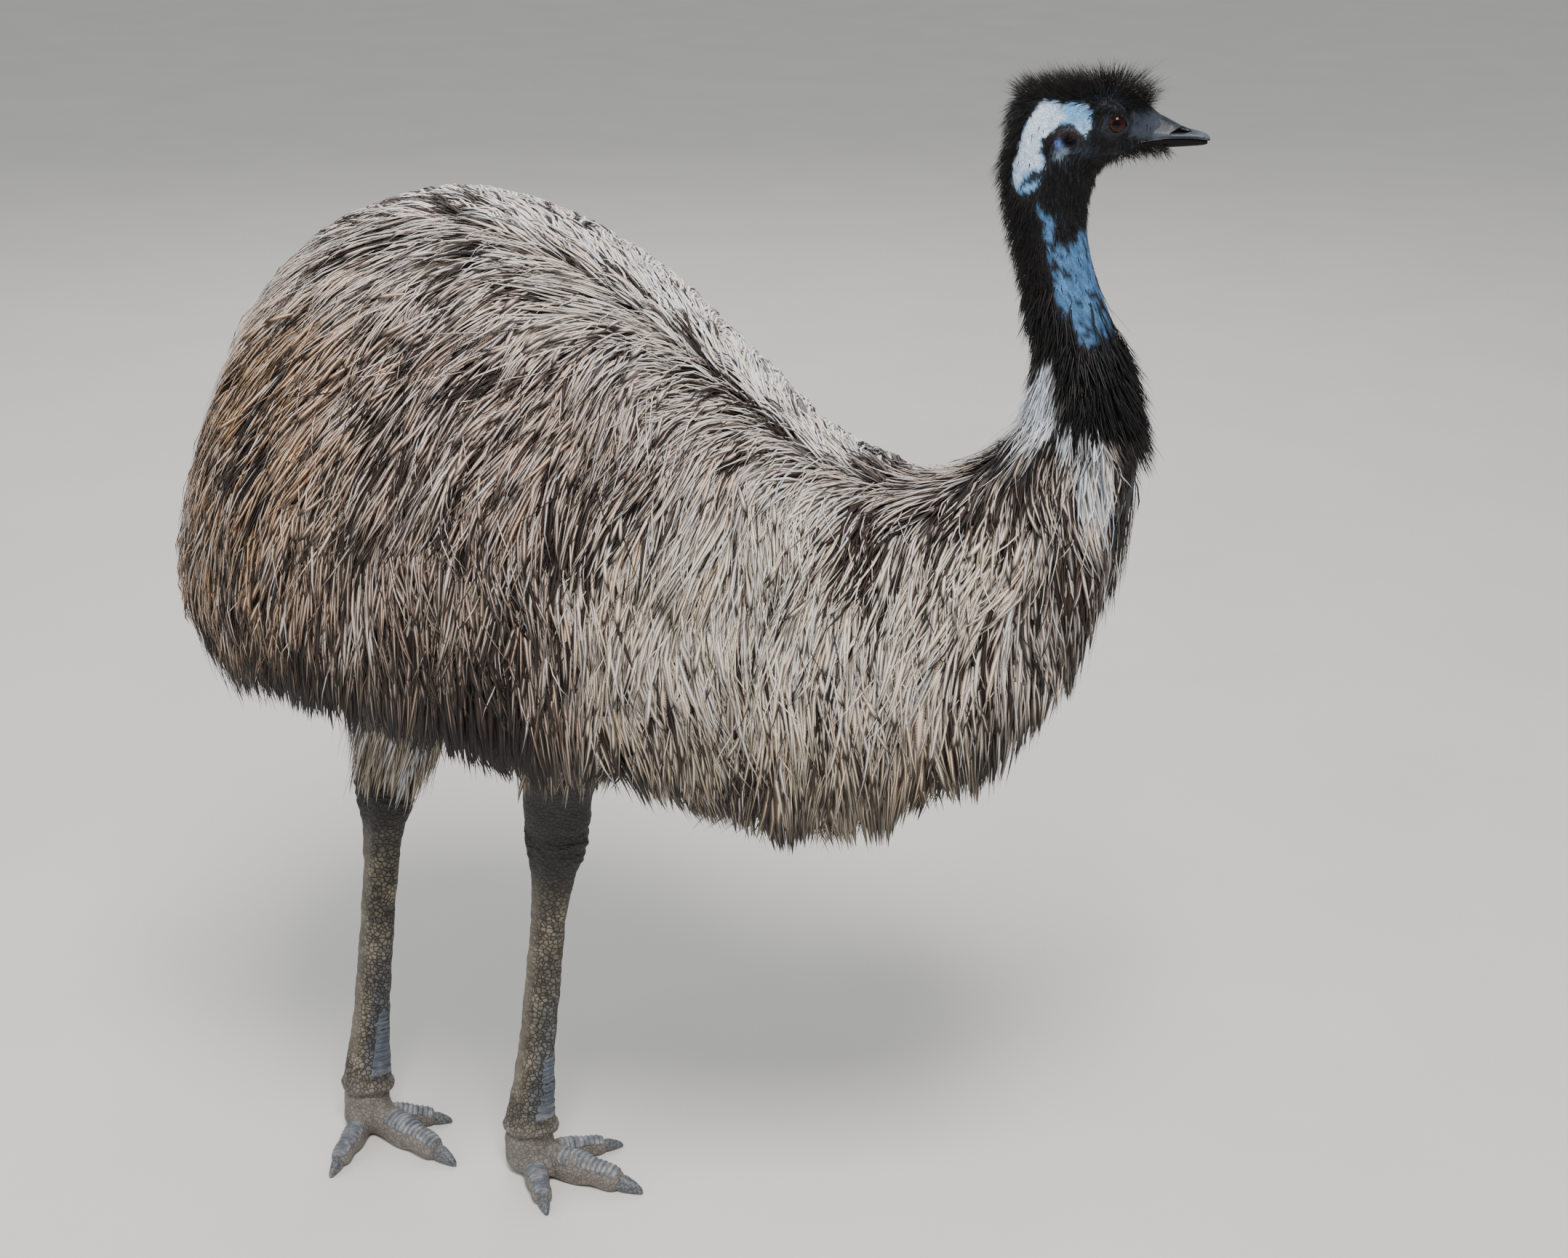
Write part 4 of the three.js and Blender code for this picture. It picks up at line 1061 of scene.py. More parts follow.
def bill_place(upper):
    def place(s, t):
        x = BILL_FROM + (BILL_TO - (0 if upper else OVERHANG) - BILL_FROM) * (1 - (1 - s) ** 1.35)
        half, crest, mouth, under = bill_rows(x)
        crest, half = (crest, half) if upper else (under, half - 1.3)
        angle = t * 2 * math.pi
        outer = angle <= math.pi
        rise = np.where(outer, np.abs(np.sin(angle)) ** 0.9, -0.04 * np.abs(np.sin(angle)))
        out = np.cos(angle) * outer
        y = half * np.cos(angle)
        z = mouth + (crest - mouth) * rise
        flat = np.stack([x, x, z], -1)
        lip = hill(z - mouth, 1.4) * (-1.4 if upper else -1.0)
        if upper:
            hole = inside(NOSTRIL, flat, 0, 1.1)
            pit = hill(off_line(flat, HOLLOW), 4.2)
            ridge = hill(off_line(flat, [(765, 1228), (785, 1227.2), (808, 1226.6)]), 1.8)
            rim = hill(off_line(flat, [(779, 1229), (788, 1236)]), 1.6) * (1 - hole)
            lip = lip - 5.0 * hole - 1.8 * pit + 0.9 * ridge + 0.7 * rim
        return np.stack([x, y + out * lip, z + (GAP if upper else -GAP)], -1)
    return place


print("the upper half is", BILL_TO - BILL_FROM, "mm long, from inside the skin to the tip")

# %% [markdown]
# The horn is slate, with a painted highlight along its edge and at the tip, painted shade in
# the hollow behind the nostril, and black painted shade in the nostril. Where it meets the skin
# it has the skin's colour. The lower half is darker, as painted shade, and duller.
# %% Colour the bill
def bill_skin(points, upper):
    flat = points * np.array([1, 0, 1])
    if not upper:
        # painted shade: the lower half is painted dark
        return np.tile(paint("1d1a1b"), (len(points), 1))
    slate = layered(paint("262b33"), ("3a414b", smooth(ripple(points, 9), -0.6, 0.6)))
    # painted highlight along the edge of the upper half; the next colours paint one at the tip
    edge = hill(off_line(flat, [(765, 1227), (785, 1226.6), (808, 1226)]), 2.4)
    return layered(SLATE, (slate, smooth(points[:, 0], 757, 770)), ("59626e", 0.7 * edge),
                   ("666d75", 0.7 * smooth(points[:, 0], 797, 809)),
                   # painted shade in the hollow behind the nostril and, black, in the nostril
                   ("26292f", 0.7 * hill(off_line(flat, HOLLOW), 4.5)),
                   ("040405", inside(NOSTRIL, flat, 0, 1.0)))


BILL = horn_finish("bill", (0.72,) * 3, (1.0,) * 3, 0.42, 0.35, painted=True)
SHADED = horn_finish("bill_lower", (0.72,) * 3, (1.0,) * 3, 0.7, 0.12, painted=True)
for part, upper in (("upper", True), ("lower", False)):
    bm = bmesh.new()
    wrap(bm, 120, 112, bill_place(upper))
    half_bill = as_object(f"bill_{part}_horn", bm, BILL if upper else SHADED)
    spots = feet_points(half_bill)
    give_colour(half_bill, np.column_stack([bill_skin(spots, upper), np.ones(len(spots))]))
    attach(half_bill, "root")
    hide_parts(f"bill_{part}")
print("bill halves: 2")

# %% [markdown]
# An eye is a ball with its axis to the side. The finish measures the distance from that axis
# in the object's own space, so the pupil, the red-brown iris and its dark rim need no picture.
# %% Eyes
def eye_finish():
    kit = Finish("eye", Roughness=0.04, Specular_IOR_Level=0.22)
    apart = kit.node("ShaderNodeSeparateXYZ", None, {"Vector": kit.place()})
    centre = metres(EYE)
    dx = Number(kit, apart.outputs["X"]) - float(centre[0] + 0.0006)
    dz = Number(kit, apart.outputs["Z"]) - float(centre[2] + 0.0002)
    r = (dx * dx + dz * dz) ** 0.5 * 1000
    iris = kit.blend(kit.noise(1800, 4).step(0.35, 0.65), paint("1b0806"), paint("3d130a"))
    iris = kit.blend(r.step(7.2, 8.6), iris, paint("100504"))
    kit.feed("Base Color", kit.blend(1 - r.step(3.2, 4.2), iris, paint("020202")))
    return kit.material


EYEBALL = eye_finish()
for side, way in (("left", 1), ("right", -1)):
    bm = bmesh.new()
    bmesh.ops.create_uvsphere(bm, u_segments=48, v_segments=32, radius=EYE_RADIUS / 1000)
    bmesh.ops.rotate(bm, verts=bm.verts, matrix=Matrix.Rotation(math.pi / 2, 3, "X"))
    bmesh.ops.translate(bm, verts=bm.verts, vec=metres(EYE * np.array([1, way, 1])).tolist())
    ball = as_object(f"eyeball_{side}", bm, EYEBALL)
    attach(ball, "root")
    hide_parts(f"eye_{side}")
print("eyes: 2")

# %% [markdown]
# ## Feathers as mesh
# Each feather is a thin closed blade with three sides: two vanes that meet in the line of the
# shaft, and a flat back. All blades of a piece are one mesh, made from arrays of path points,
# because tens of thousands of separate objects would be slow. Each blade also gets a small
# patch in a second layout, at its root's place on an unrolled skin.
# %% From paths to blades
PATCH = 0.003
THICK = 0.34  # height of a blade's crest, as a share of its half width


def blades(name, path, out, half, tint, spot_uv, material):
    """path and out are (feathers, stops, 3); half is (feathers, stops); tint is (feathers, 4)."""
    count, stops = path.shape[:2]
    tangent = unit(np.gradient(path, axis=1))
    side = unit(np.cross(tangent, out)) * half[..., None]
    lift = out * (half * THICK)[..., None]
    rings = np.stack([path - side, path + lift, path + side], 2)[:, :-1]
    points = np.concatenate([rings.reshape(count, -1, 3), path[:, -1:]], 1)
    size = points.shape[1]
    quads, tris = [], [(0, 2, 1)]
    for ring in range(stops - 2):
        for k in range(3):
            a, b = ring * 3 + k, ring * 3 + (k + 1) % 3
            quads.append((a, b, b + 3, a + 3))
    last = (stops - 2) * 3
    tris += [(last + k, last + (k + 1) % 3, size - 1) for k in range(3)]
    offset = (np.arange(count) * size)[:, None, None]
    quads = (np.array(quads)[None] + offset).reshape(-1, 4)
    tris = (np.array(tris)[None] + offset).reshape(-1, 3)
    reach = np.append(np.repeat(np.arange(stops - 1), 3), stops - 1) / (stops - 1)
    across = np.append(np.tile([-1.0, 0.0, 1.0], stops - 1), 0.0)

    mesh = bpy.data.meshes.new(name)
    mesh.vertices.add(count * size)
    mesh.vertices.foreach_set("co", metres(points).astype(np.float32).ravel())
    corners = np.concatenate([quads.ravel(), tris.ravel()]).astype(np.int32)
    mesh.loops.add(len(corners))
    mesh.loops.foreach_set("vertex_index", corners)
    mesh.polygons.add(len(quads) + len(tris))
    starts = np.concatenate([np.arange(len(quads)) * 4, len(quads) * 4 + np.arange(len(tris)) * 3])
    mesh.polygons.foreach_set("loop_start", starts.astype(np.int32))
    mesh.polygons.foreach_set("use_smooth", np.ones(len(starts), bool))
    mesh.update()
    every = {"along": np.tile(reach, count), "across": np.tile(across, count)}
    for key, values in every.items():
        layer = mesh.attributes.new(key, "FLOAT", "POINT")
        layer.data.foreach_set("value", values.astype(np.float32))
    local = np.stack([across * 0.5, reach - 0.5], -1) * PATCH
    places = (spot_uv[:, None, :] * 0.98 + 0.01 + local[None]).reshape(-1, 2)
    layer = mesh.uv_layers.new(name="OFBake")
    layer.data.foreach_set("uv", places[corners].astype(np.float32).ravel())
    mesh.materials.append(material)
    thing = put_in_scene(name, mesh)
    give_colour(thing, np.repeat(tint, size, axis=0))
    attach(thing, "root")
    print(f"{name}: {count} blades, {len(quads) * 2 + len(tris)} triangles")
    return thing


# %% [markdown]
# Roots are spread evenly over the skin. The skin is cut into small cells, each with the number
# of roots that its area asks for, and the running total of those numbers says which cells get
# one. All random numbers come from one seed, so the coat is the same in every run.
# %% Spread roots
rng = np.random.default_rng(11)
ROUND = (-math.pi, math.pi)


def spread(u_range, angle_range, spacing, cell=0.025):
    """Places (u, angle) about one spacing apart, in millimetres or a function of the place."""
    u = np.arange(*u_range, cell) + cell / 2
    angle = np.arange(*angle_range, cell) + cell / 2
    u, angle = (g.ravel() for g in np.meshgrid(u, angle, indexing="ij"))
    length = (skin_point(u + cell / 2, angle) - skin_point(u - cell / 2, angle))
    round_ = (skin_point(u, angle + cell / 2) - skin_point(u, angle - cell / 2))
    area = np.linalg.norm(np.cross(length, round_), axis=-1)
    gap = spacing(u, angle) if callable(spacing) else np.full(len(u), float(spacing))
    total = np.cumsum(area / gap ** 2)
    copies = np.diff(np.floor(total), prepend=0).astype(int)
    u, angle = np.repeat(u, copies), np.repeat(angle, copies)
    u = u + cell * (rng.random(len(u)) - 0.5)
    return u, angle + cell * (rng.random(len(u)) - 0.5)


print("roots can go anywhere from section 0 to", LAST)

# %% [markdown]
# A feather walks over the skin in the way that the plumage lies: back and outwards from the
# parting, then down. Where the skin turns under, the feather leaves it and hangs freely.
# %% Follow the lie
def lie(u, normal):
    """The way that feathers lie: down, and back and outwards near the parting."""
    top = np.maximum(0, normal[:, 2]) ** 0.8
    body = 1 - smooth(u, 9.5, 12)
    rear = 1 - smooth(u, 3.0, 6.0)
    outward = np.clip(normal[:, 1] / 0.3, -1, 1)
    shoulder = smooth(u, 5.5, 8.5)
    ridge = 1 - smooth(np.abs(normal[:, 1]), 0.12, 0.6)
    back = 0.24 * rear + mix(0.95, 0.4, shoulder) * top + 0.9 * ridge * smooth(u, 4, 6)
    wish = np.stack([-back * body, 0.6 * top * outward * body, np.full(len(u), -0.75)], -1)
    return unit(wish - dot(wish, normal) * normal)


def turn(way, normal, swing):
    return unit(way + np.cross(normal, way) * np.asarray(swing)[:, None])


DROOP = np.array([0, 0, 0.4])  # how fast a feather that has left the skin turns down


def lay(u, angle, length, swing, curl, steps):
    """Walks each feather over the skin; returns its path and outward directions."""
    at, out = skin_point(u, angle), skin_normal(u, angle)
    way = turn(lie(u, out), out, swing)
    free = np.zeros(len(u), bool)
    path, outs = [at], [out]
    step = (length / steps)[:, None]
    for i in range(steps):
        here = skin_point(u, angle)
        along_u = (skin_point(u + NUDGE, angle) - here) / NUDGE
        along_a = (skin_point(u, angle + NUDGE) - here) / NUDGE
        uu, ua, aa = dot(along_u, along_u), dot(along_u, along_a), dot(along_a, along_a)
        su, sa = dot(way * step, along_u), dot(way * step, along_a)
        det = np.maximum(uu * aa - ua * ua, 1e-6)
        new_u = np.clip(u + ((su * aa - sa * ua) / det)[:, 0], 0.05, 21.9)
        new_angle = angle + ((sa * uu - su * ua) / det)[:, 0]
        on_skin, normal = skin_point(new_u, new_angle), skin_normal(new_u, new_angle)
        falling = unit(way - DROOP)
        held = ~free
        u, angle = np.where(held, new_u, u), np.where(held, new_angle, angle)
        at = np.where(free[:, None], at + falling * step, on_skin)
        out = np.where(free[:, None], unit(out - dot(out, falling) * falling), normal)
        bent = turn(lie(u, normal), normal, swing + curl * (i + 1) / steps)
        way = np.where(free[:, None], falling, bent)
        free |= normal[:, 2] < mix(-0.35, -0.12, smooth(u, 7.5, 9))
        path.append(at)
        outs.append(out)
    return np.stack(path, 1), np.stack(outs, 1)


print("lie of a feather on the flank:", lie(np.array([5.0]), np.array([[0, 1.0, 0]])).round(2))

# %% [markdown]
# ## The coat
# The same steps make every kind of feather. Neighbours lean towards a leader, which gathers
# them into locks, and an arch lifts each one off the skin.
# %% Gather and lift
def even(u):
    """A random number from 0 to 1 for each feather."""
    return rng.random(len(u))


def bell(u):
    """A random number for each feather, mostly near 0."""
    return rng.standard_normal(len(u))


def arch(path, out, height, bow, sink=0.0):
    """Lifts each feather off the skin in an arch; sink pushes its root in."""
    t = np.linspace(0, 1, path.shape[1])
    return path + out * (height[:, None] * np.sin(t * bow)[None] - sink * (1 - t)[None])[..., None]


def only(keep, *arrays):
    return [array[keep] for array in arrays]


def gather(path, pull, leader_share):
    """Leans feathers towards the nearest of a few leaders, most at their tips."""
    roots = path[:, 0]
    leaders = rng.permutation(len(roots))[: max(2, int(len(roots) * leader_share))]
    tree = KDTree(len(leaders))
    for i, k in enumerate(leaders):
        tree.insert(roots[k], i)
    tree.balance()
    nearest = np.array([leaders[tree.find(r)[1]] for r in roots])
    t = np.linspace(0, 1, path.shape[1]) ** 1.4
    return path + (path[nearest] - path) * (t[None, :] * pull[:, None])[..., None], nearest


print("gathering ready")

# %% [markdown]
# Each feather gets a colour from its region, and draws decide which ones are dark or cream.
# Half of those draws are shared by a whole lock. The widths run from a narrow root to a point.
# Sets that are too big for one mesh are split.
# %% Colour, widen and split
MOST = 185000  # triangles in one mesh, a little under the limit


def tinted(base, dark, cream, tips, nearest):
    """A colour and a tip darkness for each feather, from the shares of its region."""
    count = len(base)
    draw = np.where(rng.random(count) < 0.5, rng.random(count)[nearest], rng.random(count))
    lock = rng.standard_normal(count)[nearest]
    tone = base * np.exp(0.2 * lock + 0.13 * rng.standard_normal(count))[:, None]
    shadow = paint("352b27") * (0.6 + 0.9 * rng.random(count))[:, None]
    tone = np.where((draw < dark)[:, None], shadow, tone)
    light = draw > 1 - cream
    bright = mix(paint("fdf2ec"), base, 0.3) * (0.85 + 0.25 * rng.random(count))[:, None]
    tone = np.where(light[:, None], bright, tone)
    warm = (0.09 * rng.standard_normal(count))[:, None] * np.array([1, 0.2, -0.7])
    tone = np.clip(tone * (1 + warm), 0.002, 0.95)
    tip = np.clip(tips * (0.4 + 1.2 * rng.random(count)), 0, 1) * np.where(light, 0.6, 1)
    return np.column_stack([tone, tip])


def width_along(half, stops, belly=0.35, root=0.35):
    """Half widths along each feather: narrow at the root, widest at belly, then to a point."""
    t = np.linspace(0, 1, stops)
    shape = np.where(t < belly, root + (1 - root) * np.sin(t / belly * math.pi / 2),
                     np.cos(np.clip((t - belly) / (1 - belly), 0, 1) * math.pi / 2) ** 1.05)
    return half[:, None] * np.maximum(shape, 0.12)[None]


def plain_tint(tone, tip):
    """One colour for each feather, and the same darkness of the tip for all."""
    return np.column_stack([tone, np.full(len(tone), tip)])


def blade_size(stops):
    """Triangles in one blade."""
    return 1 + (stops - 2) * 6 + 3


def pieces(name, u, angle, path, out, half, tint, material, shape=()):
    """Joined meshes of less than 200,000 triangles, parted along the bird."""
    half = width_along(half, path.shape[1], *shape)
    total = len(u) * blade_size(path.shape[1])
    parts = np.array_split(np.argsort(u), math.ceil(total / MOST))
    places = np.stack([u / LAST, (angle / (2 * math.pi)) % 1], -1)
    for number, part in enumerate(parts, 1):
        thing = blades(f"{name}_{number}", path[part], out[part], half[part], tint[part],
                       places[part], material)


print("triangles in a blade of five stops:", blade_size(5))

# %% [markdown]
# Body feathers come first. On the back they are narrow ribbons, crowded and long; on the
# flanks they widen into loose vanes that hang over the hem. Some are broad and lie low, the
# others are thin strands on top, and no two have quite the same length, swing or colour.
# %% Feathers of the body
def body_spacing(u, angle):
    down = np.abs(np.sin(angle / 2)) ** 2
    under = smooth(np.abs(((angle + math.pi) % (2 * math.pi)) - math.pi), 2.2, 2.7)
    return mix(4.75, 6.2, down) + 8 * under + 0.6 * smooth(u, 0, 12)


u, angle = spread((0.36, 12.9), ROUND, body_spacing)
roots = skin_point(u, angle)
side = smooth(np.abs(angle), 0.6, 1.4) * smooth(roots[:, 0], -120, 150)
length = mix(108, 142, side) * mix(1, 0.5, smooth(u, 8.3, 12)) * (0.65 + 0.55 * even(u))
swing = 0.14 * bell(u) + 0.2 * ripple(roots, 70, 2.5) + 0.16 * ripple(roots, 22, 6.5)
curl = 0.3 * ripple(roots, 40, 12.5) + 0.3 * bell(u)
path, out = lay(u, angle, length, swing, curl, 4)
path, nearest = gather(path, 0.3 + 0.45 * even(u), 0.03)
path = gather(path, 0.15 + 0.35 * even(u), 0.16)[0]
base, dark, cream, tips = plumage(path[:, 2], u, angle)
wide = even(u) < 0.45
height = np.where(wide, 2 + 5 * even(u), 4 + 10 * even(u)) * mix(1, 0.6, smooth(u, *NECK))
path = arch(path, out, height, 1.9, sink=1.5)
half = mix(1.9, 2.6, side) * (0.6 + 0.8 * even(u)) * np.where(wide, mix(1.5, 2.0, side), 0.72)
half *= mix(1, 0.6, smooth(u, 10.5, 12))
tint = tinted(base * np.where(wide, 0.86, 1.06)[:, None], dark, cream * np.where(wide, 0.6, 1.3),
              tips, nearest)
pieces("body_feathers", u, angle, path, out, half, tint, BODY_FEATHER)
print("body feathers:", len(u))

# %% [markdown]
# Thin loose strands lie over the feathers. Most are dark and a few are white shafts. Shorter
# feathers with a slim quill and a broad dark end set the flecks of the coat. They come in
# clusters, which is what the noise in the choice of the ones to keep is for.
# %% Loose strands and tipped feathers
u, angle = spread((0.5, 12.5), (-2.5, 2.5), 15.5)
roots = skin_point(u, angle)
swing = 0.25 * bell(u) + 0.2 * ripple(roots, 70, 2.5)
curl = 0.5 * bell(u)
length = (60 + 60 * even(u)) * mix(1, 0.6, smooth(u, 9.5, 12.5))
path, out = lay(u, angle, length, swing, curl, 4)
base, dark, cream, tips = plumage(path[:, 2], u, angle)
path = arch(path, out, 7 + 8 * even(u), 2.0)
tinged = 0.25 * (tips > 0)
tint = tinted(base * 1.1, dark + tinged, cream + 0.2 * (tips > 0), tips, np.arange(len(u)))
pieces("loose_strands", u, angle, path, out, 0.45 + 0.35 * even(u), tint, BLACK_DOWN)

u, angle = spread((0.5, 11.8), (-2.4, 2.4), 15.5)
roots = skin_point(u, angle)
swing = 0.16 * bell(u) + 0.2 * ripple(roots, 70, 2.5) + 0.16 * ripple(roots, 22, 6.5)
path, out = lay(u, angle, 46 + 20 * even(u), swing, 0.3 * bell(u), 4)
base, dark, cream, tips = plumage(path[:, 3], u, angle)
cluster = smooth(ripple(roots, 40, 14.5), -0.3, 0.5)
keep = even(u) < (0.1 + 0.6 * tips) * (tips > 0.02) * cluster
u, angle, path, out, base = only(keep, u, angle, path, out, base)
path = arch(path, out, 9 + 6 * even(u), 1.9)
tint = plain_tint(base * (0.8 + 0.4 * even(u))[:, None], 0.95)
pieces("tipped_feathers", u, angle, path, out, 1.8 + 1.3 * even(u), tint, BODY_FEATHER,
       shape=(0.78, 0.12))

# %% [markdown]
# Along the ridge of the back runs a row of pale feathers that twist like a rope, and here and
# there a dark one. A sine wave bends each one sideways, and its phase runs on along the bird,
# so that neighbours twist together. Their colour fades into the coat's at the edges of the row.
# %% The pale ridge
u, angle = spread((3.8, 9.4), (-0.22, 0.3), 4.3)
roots = skin_point(u, angle)
far = smooth(angle, -0.02, 0.06)
phase = roots[:, 0] / 5.5 + 1.6 * ripple(roots, 50, 3.3)
swing = 0.15 * bell(u) - mix(0.6, 1.0, far)
path, out = lay(u, angle, (42 + 24 * even(u)) * mix(1.25, 0.95, far), swing,
                0.6 * ripple(roots, 21, 7.7) + 0.8 * far, 6)
path, nearest = gather(path, 0.5 + 0.4 * even(u), 0.04)
t = np.linspace(0, 1, path.shape[1])
wave = (np.sin(t * 4.6 + phase[:, None]) - np.sin(phase)[:, None]) * (8.0 * np.sqrt(t))
path = path + unit(np.cross(np.gradient(path, axis=1), out)) * wave[..., None]
path = arch(path, out, 9 + 8 * even(u), 2.3)
fade = smooth(u, 8.6, 9.4)
rag = ripple(roots, 30, 6.6)
sides = smooth(np.abs(angle - 0.04) + 0.05 * rag, 0.17, 0.27)
core = smooth(u + 0.9 * rag, 4.2, 6.6) * (1 - sides)
base = layered(plumage(path[:, 2], u, angle)[0] * 0.72, ("fffaf8", core), ("4a4140", fade))
dark_lock = np.sin(phase + 0.8) + 0.5 * ripple(roots, 14, 5.5) > 0.92
base = base * np.where(dark_lock, 0.16, 1.0)[:, None]
tint = tinted(base, mix(0.3, 0.05, core) + 0.25 * fade, mix(0.1, 0.5, core) * (1 - fade),
              np.full(len(u), 0.3), nearest)
pieces("ridge_feathers", u, angle, path, out, 1.4 + 1.3 * even(u), tint, RIDGE_FEATHER)

# %% [markdown]
# The black feathers of neck and head are short, so they need not follow the surface: each
# leaves the skin at a slant and bends. How bare the skin is thins them out.
# %% Short tufts
def tufts(u, angle, length, way, lift, bend, steps=3):
    """Straight feathers that leave the skin at a slant; bend is a pull in millimetres."""
    at, normal = skin_point(u, angle), skin_normal(u, angle)
    way = unit(way - dot(way, normal) * normal)
    start = unit(way * (1 - lift)[:, None] + normal * lift[:, None])
    t = np.linspace(0, 1, steps + 1)[None, :, None]
    path = at[:, None] + start[:, None] * length[:, None, None] * t + bend[:, None] * t**2
    path = path - normal[:, None] * 0.8 * (1 - t)
    tangent = unit(np.gradient(path, axis=1))
    out = normal[:, None] + 0 * path
    return path, unit(out - dot(out, tangent) * tangent)


def jitter(count, amount):
    return amount * rng.standard_normal((count, 3))


def bareness(points):
    """How bare the skin is on neck and head, 0 to 1."""
    white, _, neck = head_marks(points)[:3]
    ear = hill(away(points, EAR), 8) + 0.9 * hill(away(points, (677, 1216)), 8)
    cheek = 0.5 * hill(away(points, (696, 1210)), 13)
    return np.clip(np.maximum(neck * 0.95, white * 0.99) + ear + cheek, 0, 0.995)


def barest(path):
    """The most bare skin that each feather reaches over."""
    return np.maximum.reduce([bareness(path[:, k]) for k in range(path.shape[1])])


print("bareness at the ear:", bareness(np.array([[EAR[0], 30, EAR[1]]])).round(2))

# %% [markdown]
# The ruff at the foot of the neck hangs over the first feathers of the body, and thins out
# over the bare blue skin.
# %% The ruff
u, angle = spread((12.3, 14.7), ROUND, 3.4)
way = lie(u, skin_normal(u, angle)) + jitter(len(u), 0.16)
path, out = tufts(u, angle, 26 + 24 * even(u), way, 0.13 + 0.2 * even(u),
                  np.array([0, 0, -6.0]) + jitter(len(u), 3.5), 4)
path = gather(path, 0.2 + 0.4 * even(u), 0.08)[0]
u, angle, path, out = only(even(u) > barest(path), u, angle, path, out)
base = plumage(path[:, 3], u, angle)[0]
tint = plain_tint(base * (0.7 + 0.5 * even(u))[:, None], 0.1)
pieces("ruff", u, angle, path, out, 0.8 + 0.7 * even(u), tint, BLACK_DOWN)

# %% [markdown]
# The neck has hair-like black feathers, long on the nape and short in front. Where the skin is
# bare they are few, and the ones that are left are half as long.
# %% Hair of the neck
u, angle = spread((14.3, 18.4), ROUND, 1.9)
nape = smooth(-skin_normal(u, angle)[:, 0], 0.1, 0.7)
way = np.stack([-0.15 * nape, 0 * nape, -np.ones(len(u))], -1) + jitter(len(u), 0.22)
length = mix(9, 20, nape) * (0.65 + 0.7 * even(u))
path, out = tufts(u, angle, length, way, mix(0.2, 0.33, nape) + 0.12 * even(u),
                  np.array([0, 0, -3.0]) + jitter(len(u), 1.5))
path = gather(path, 0.15 + 0.4 * even(u), 0.06)[0]
bare = barest(path)
path = path[:, :1] + (path - path[:, :1]) * (1 - 0.5 * bare)[:, None, None]
u, angle, path, out = only(even(u) > bare, u, angle, path, out)
tint = plain_tint(layered(BLACK, ("1c1817", even(u) ** 2)), 0.0)
pieces("neck_hair", u, angle, path, out, 0.3 + 0.22 * even(u), tint, BLACK_DOWN)

# %% [markdown]
# The down of the head stands up on the crown, leans forward over the forehead in a loose
# spiky tuft, and lies short and flat on the cheek and throat. The crescent, the ear, the eye
# and the lore stay bare.
# %% Down of the head
u, angle = spread((18.0, 21.95), ROUND, 1.45, 0.012)
roots, normal = skin_point(u, angle), skin_normal(u, angle)
x, z = roots[:, 0], roots[:, 2]
crown = smooth(normal[:, 2], 0.15, 0.75) * smooth(z, 1245, 1262)
front = crown * smooth(x, 706, 735)
back = smooth(-normal[:, 0], 0.1, 0.7) * (z > 1195)
throat = smooth(-normal[:, 2], 0.2, 0.8)
chin = smooth(-normal[:, 2], 0.05, 0.7) * smooth(x, 722, 742)
forward = mix(-0.8, 1.0, np.maximum(front, chin))
way = np.stack([forward, 0.2 * normal[:, 1], -0.75 * (1 - crown)], -1) + jitter(len(u), 0.3)
brow = hill(away(roots, (728, 1253)), 11)
length = 4.5 + np.maximum(15 * crown, 9 * back) + 6 * front + 5 * throat + 7 * chin + 4 * brow
length = length * (1 + mix(0.25, 0.7, front) * (even(u) < 0.06))
length = length * (0.6 + 0.75 * even(u)) * mix(1, 0.6, smooth(x, 745, 765) * (1 - chin))
lift = np.clip(0.2 + 0.4 * crown + 0.2 * back + 0.2 * chin + 0.12 * bell(u), 0.06, 0.95)
bend = np.stack([-2.5 * crown * (1 - front), 0 * x, -2.0 * (1 - crown)], -1) + jitter(len(u), 2.4)
path, out = tufts(u, angle, length, way, lift, bend)
path = gather(path, 0.45 * even(u), 0.06)[0]
bare = np.maximum(bareness(path[:, 0]), 0.75 * bareness(path[:, 1]))
bare = np.maximum(bare, head_marks(roots)[4] * 0.93 * (1 - crown) * (1 - chin))
bare += (away(roots, (EYE[0], EYE[2])) < 11.5) + (off_line(roots, MOUTH) < 2)
u, angle, path, out, roots = only(even(u) > bare, u, angle, path, out, roots)
tint = plain_tint(layered(BLACK, ("201a16", even(u) ** 2), ("33271d", ear_rim(roots))), 0.0)
pieces("head_down", u, angle, path, out, 0.2 + 0.16 * even(u), tint, BLACK_DOWN)

# %% [markdown]
# The thighs carry tufts that hang to just above the hock, dark on the near side and cream
# with a touch of blue on the far one. They are set round the limb as the feathers are on the
# body, and hang nearly straight.
# %% Tufts of the thighs
TUFTS = 1900


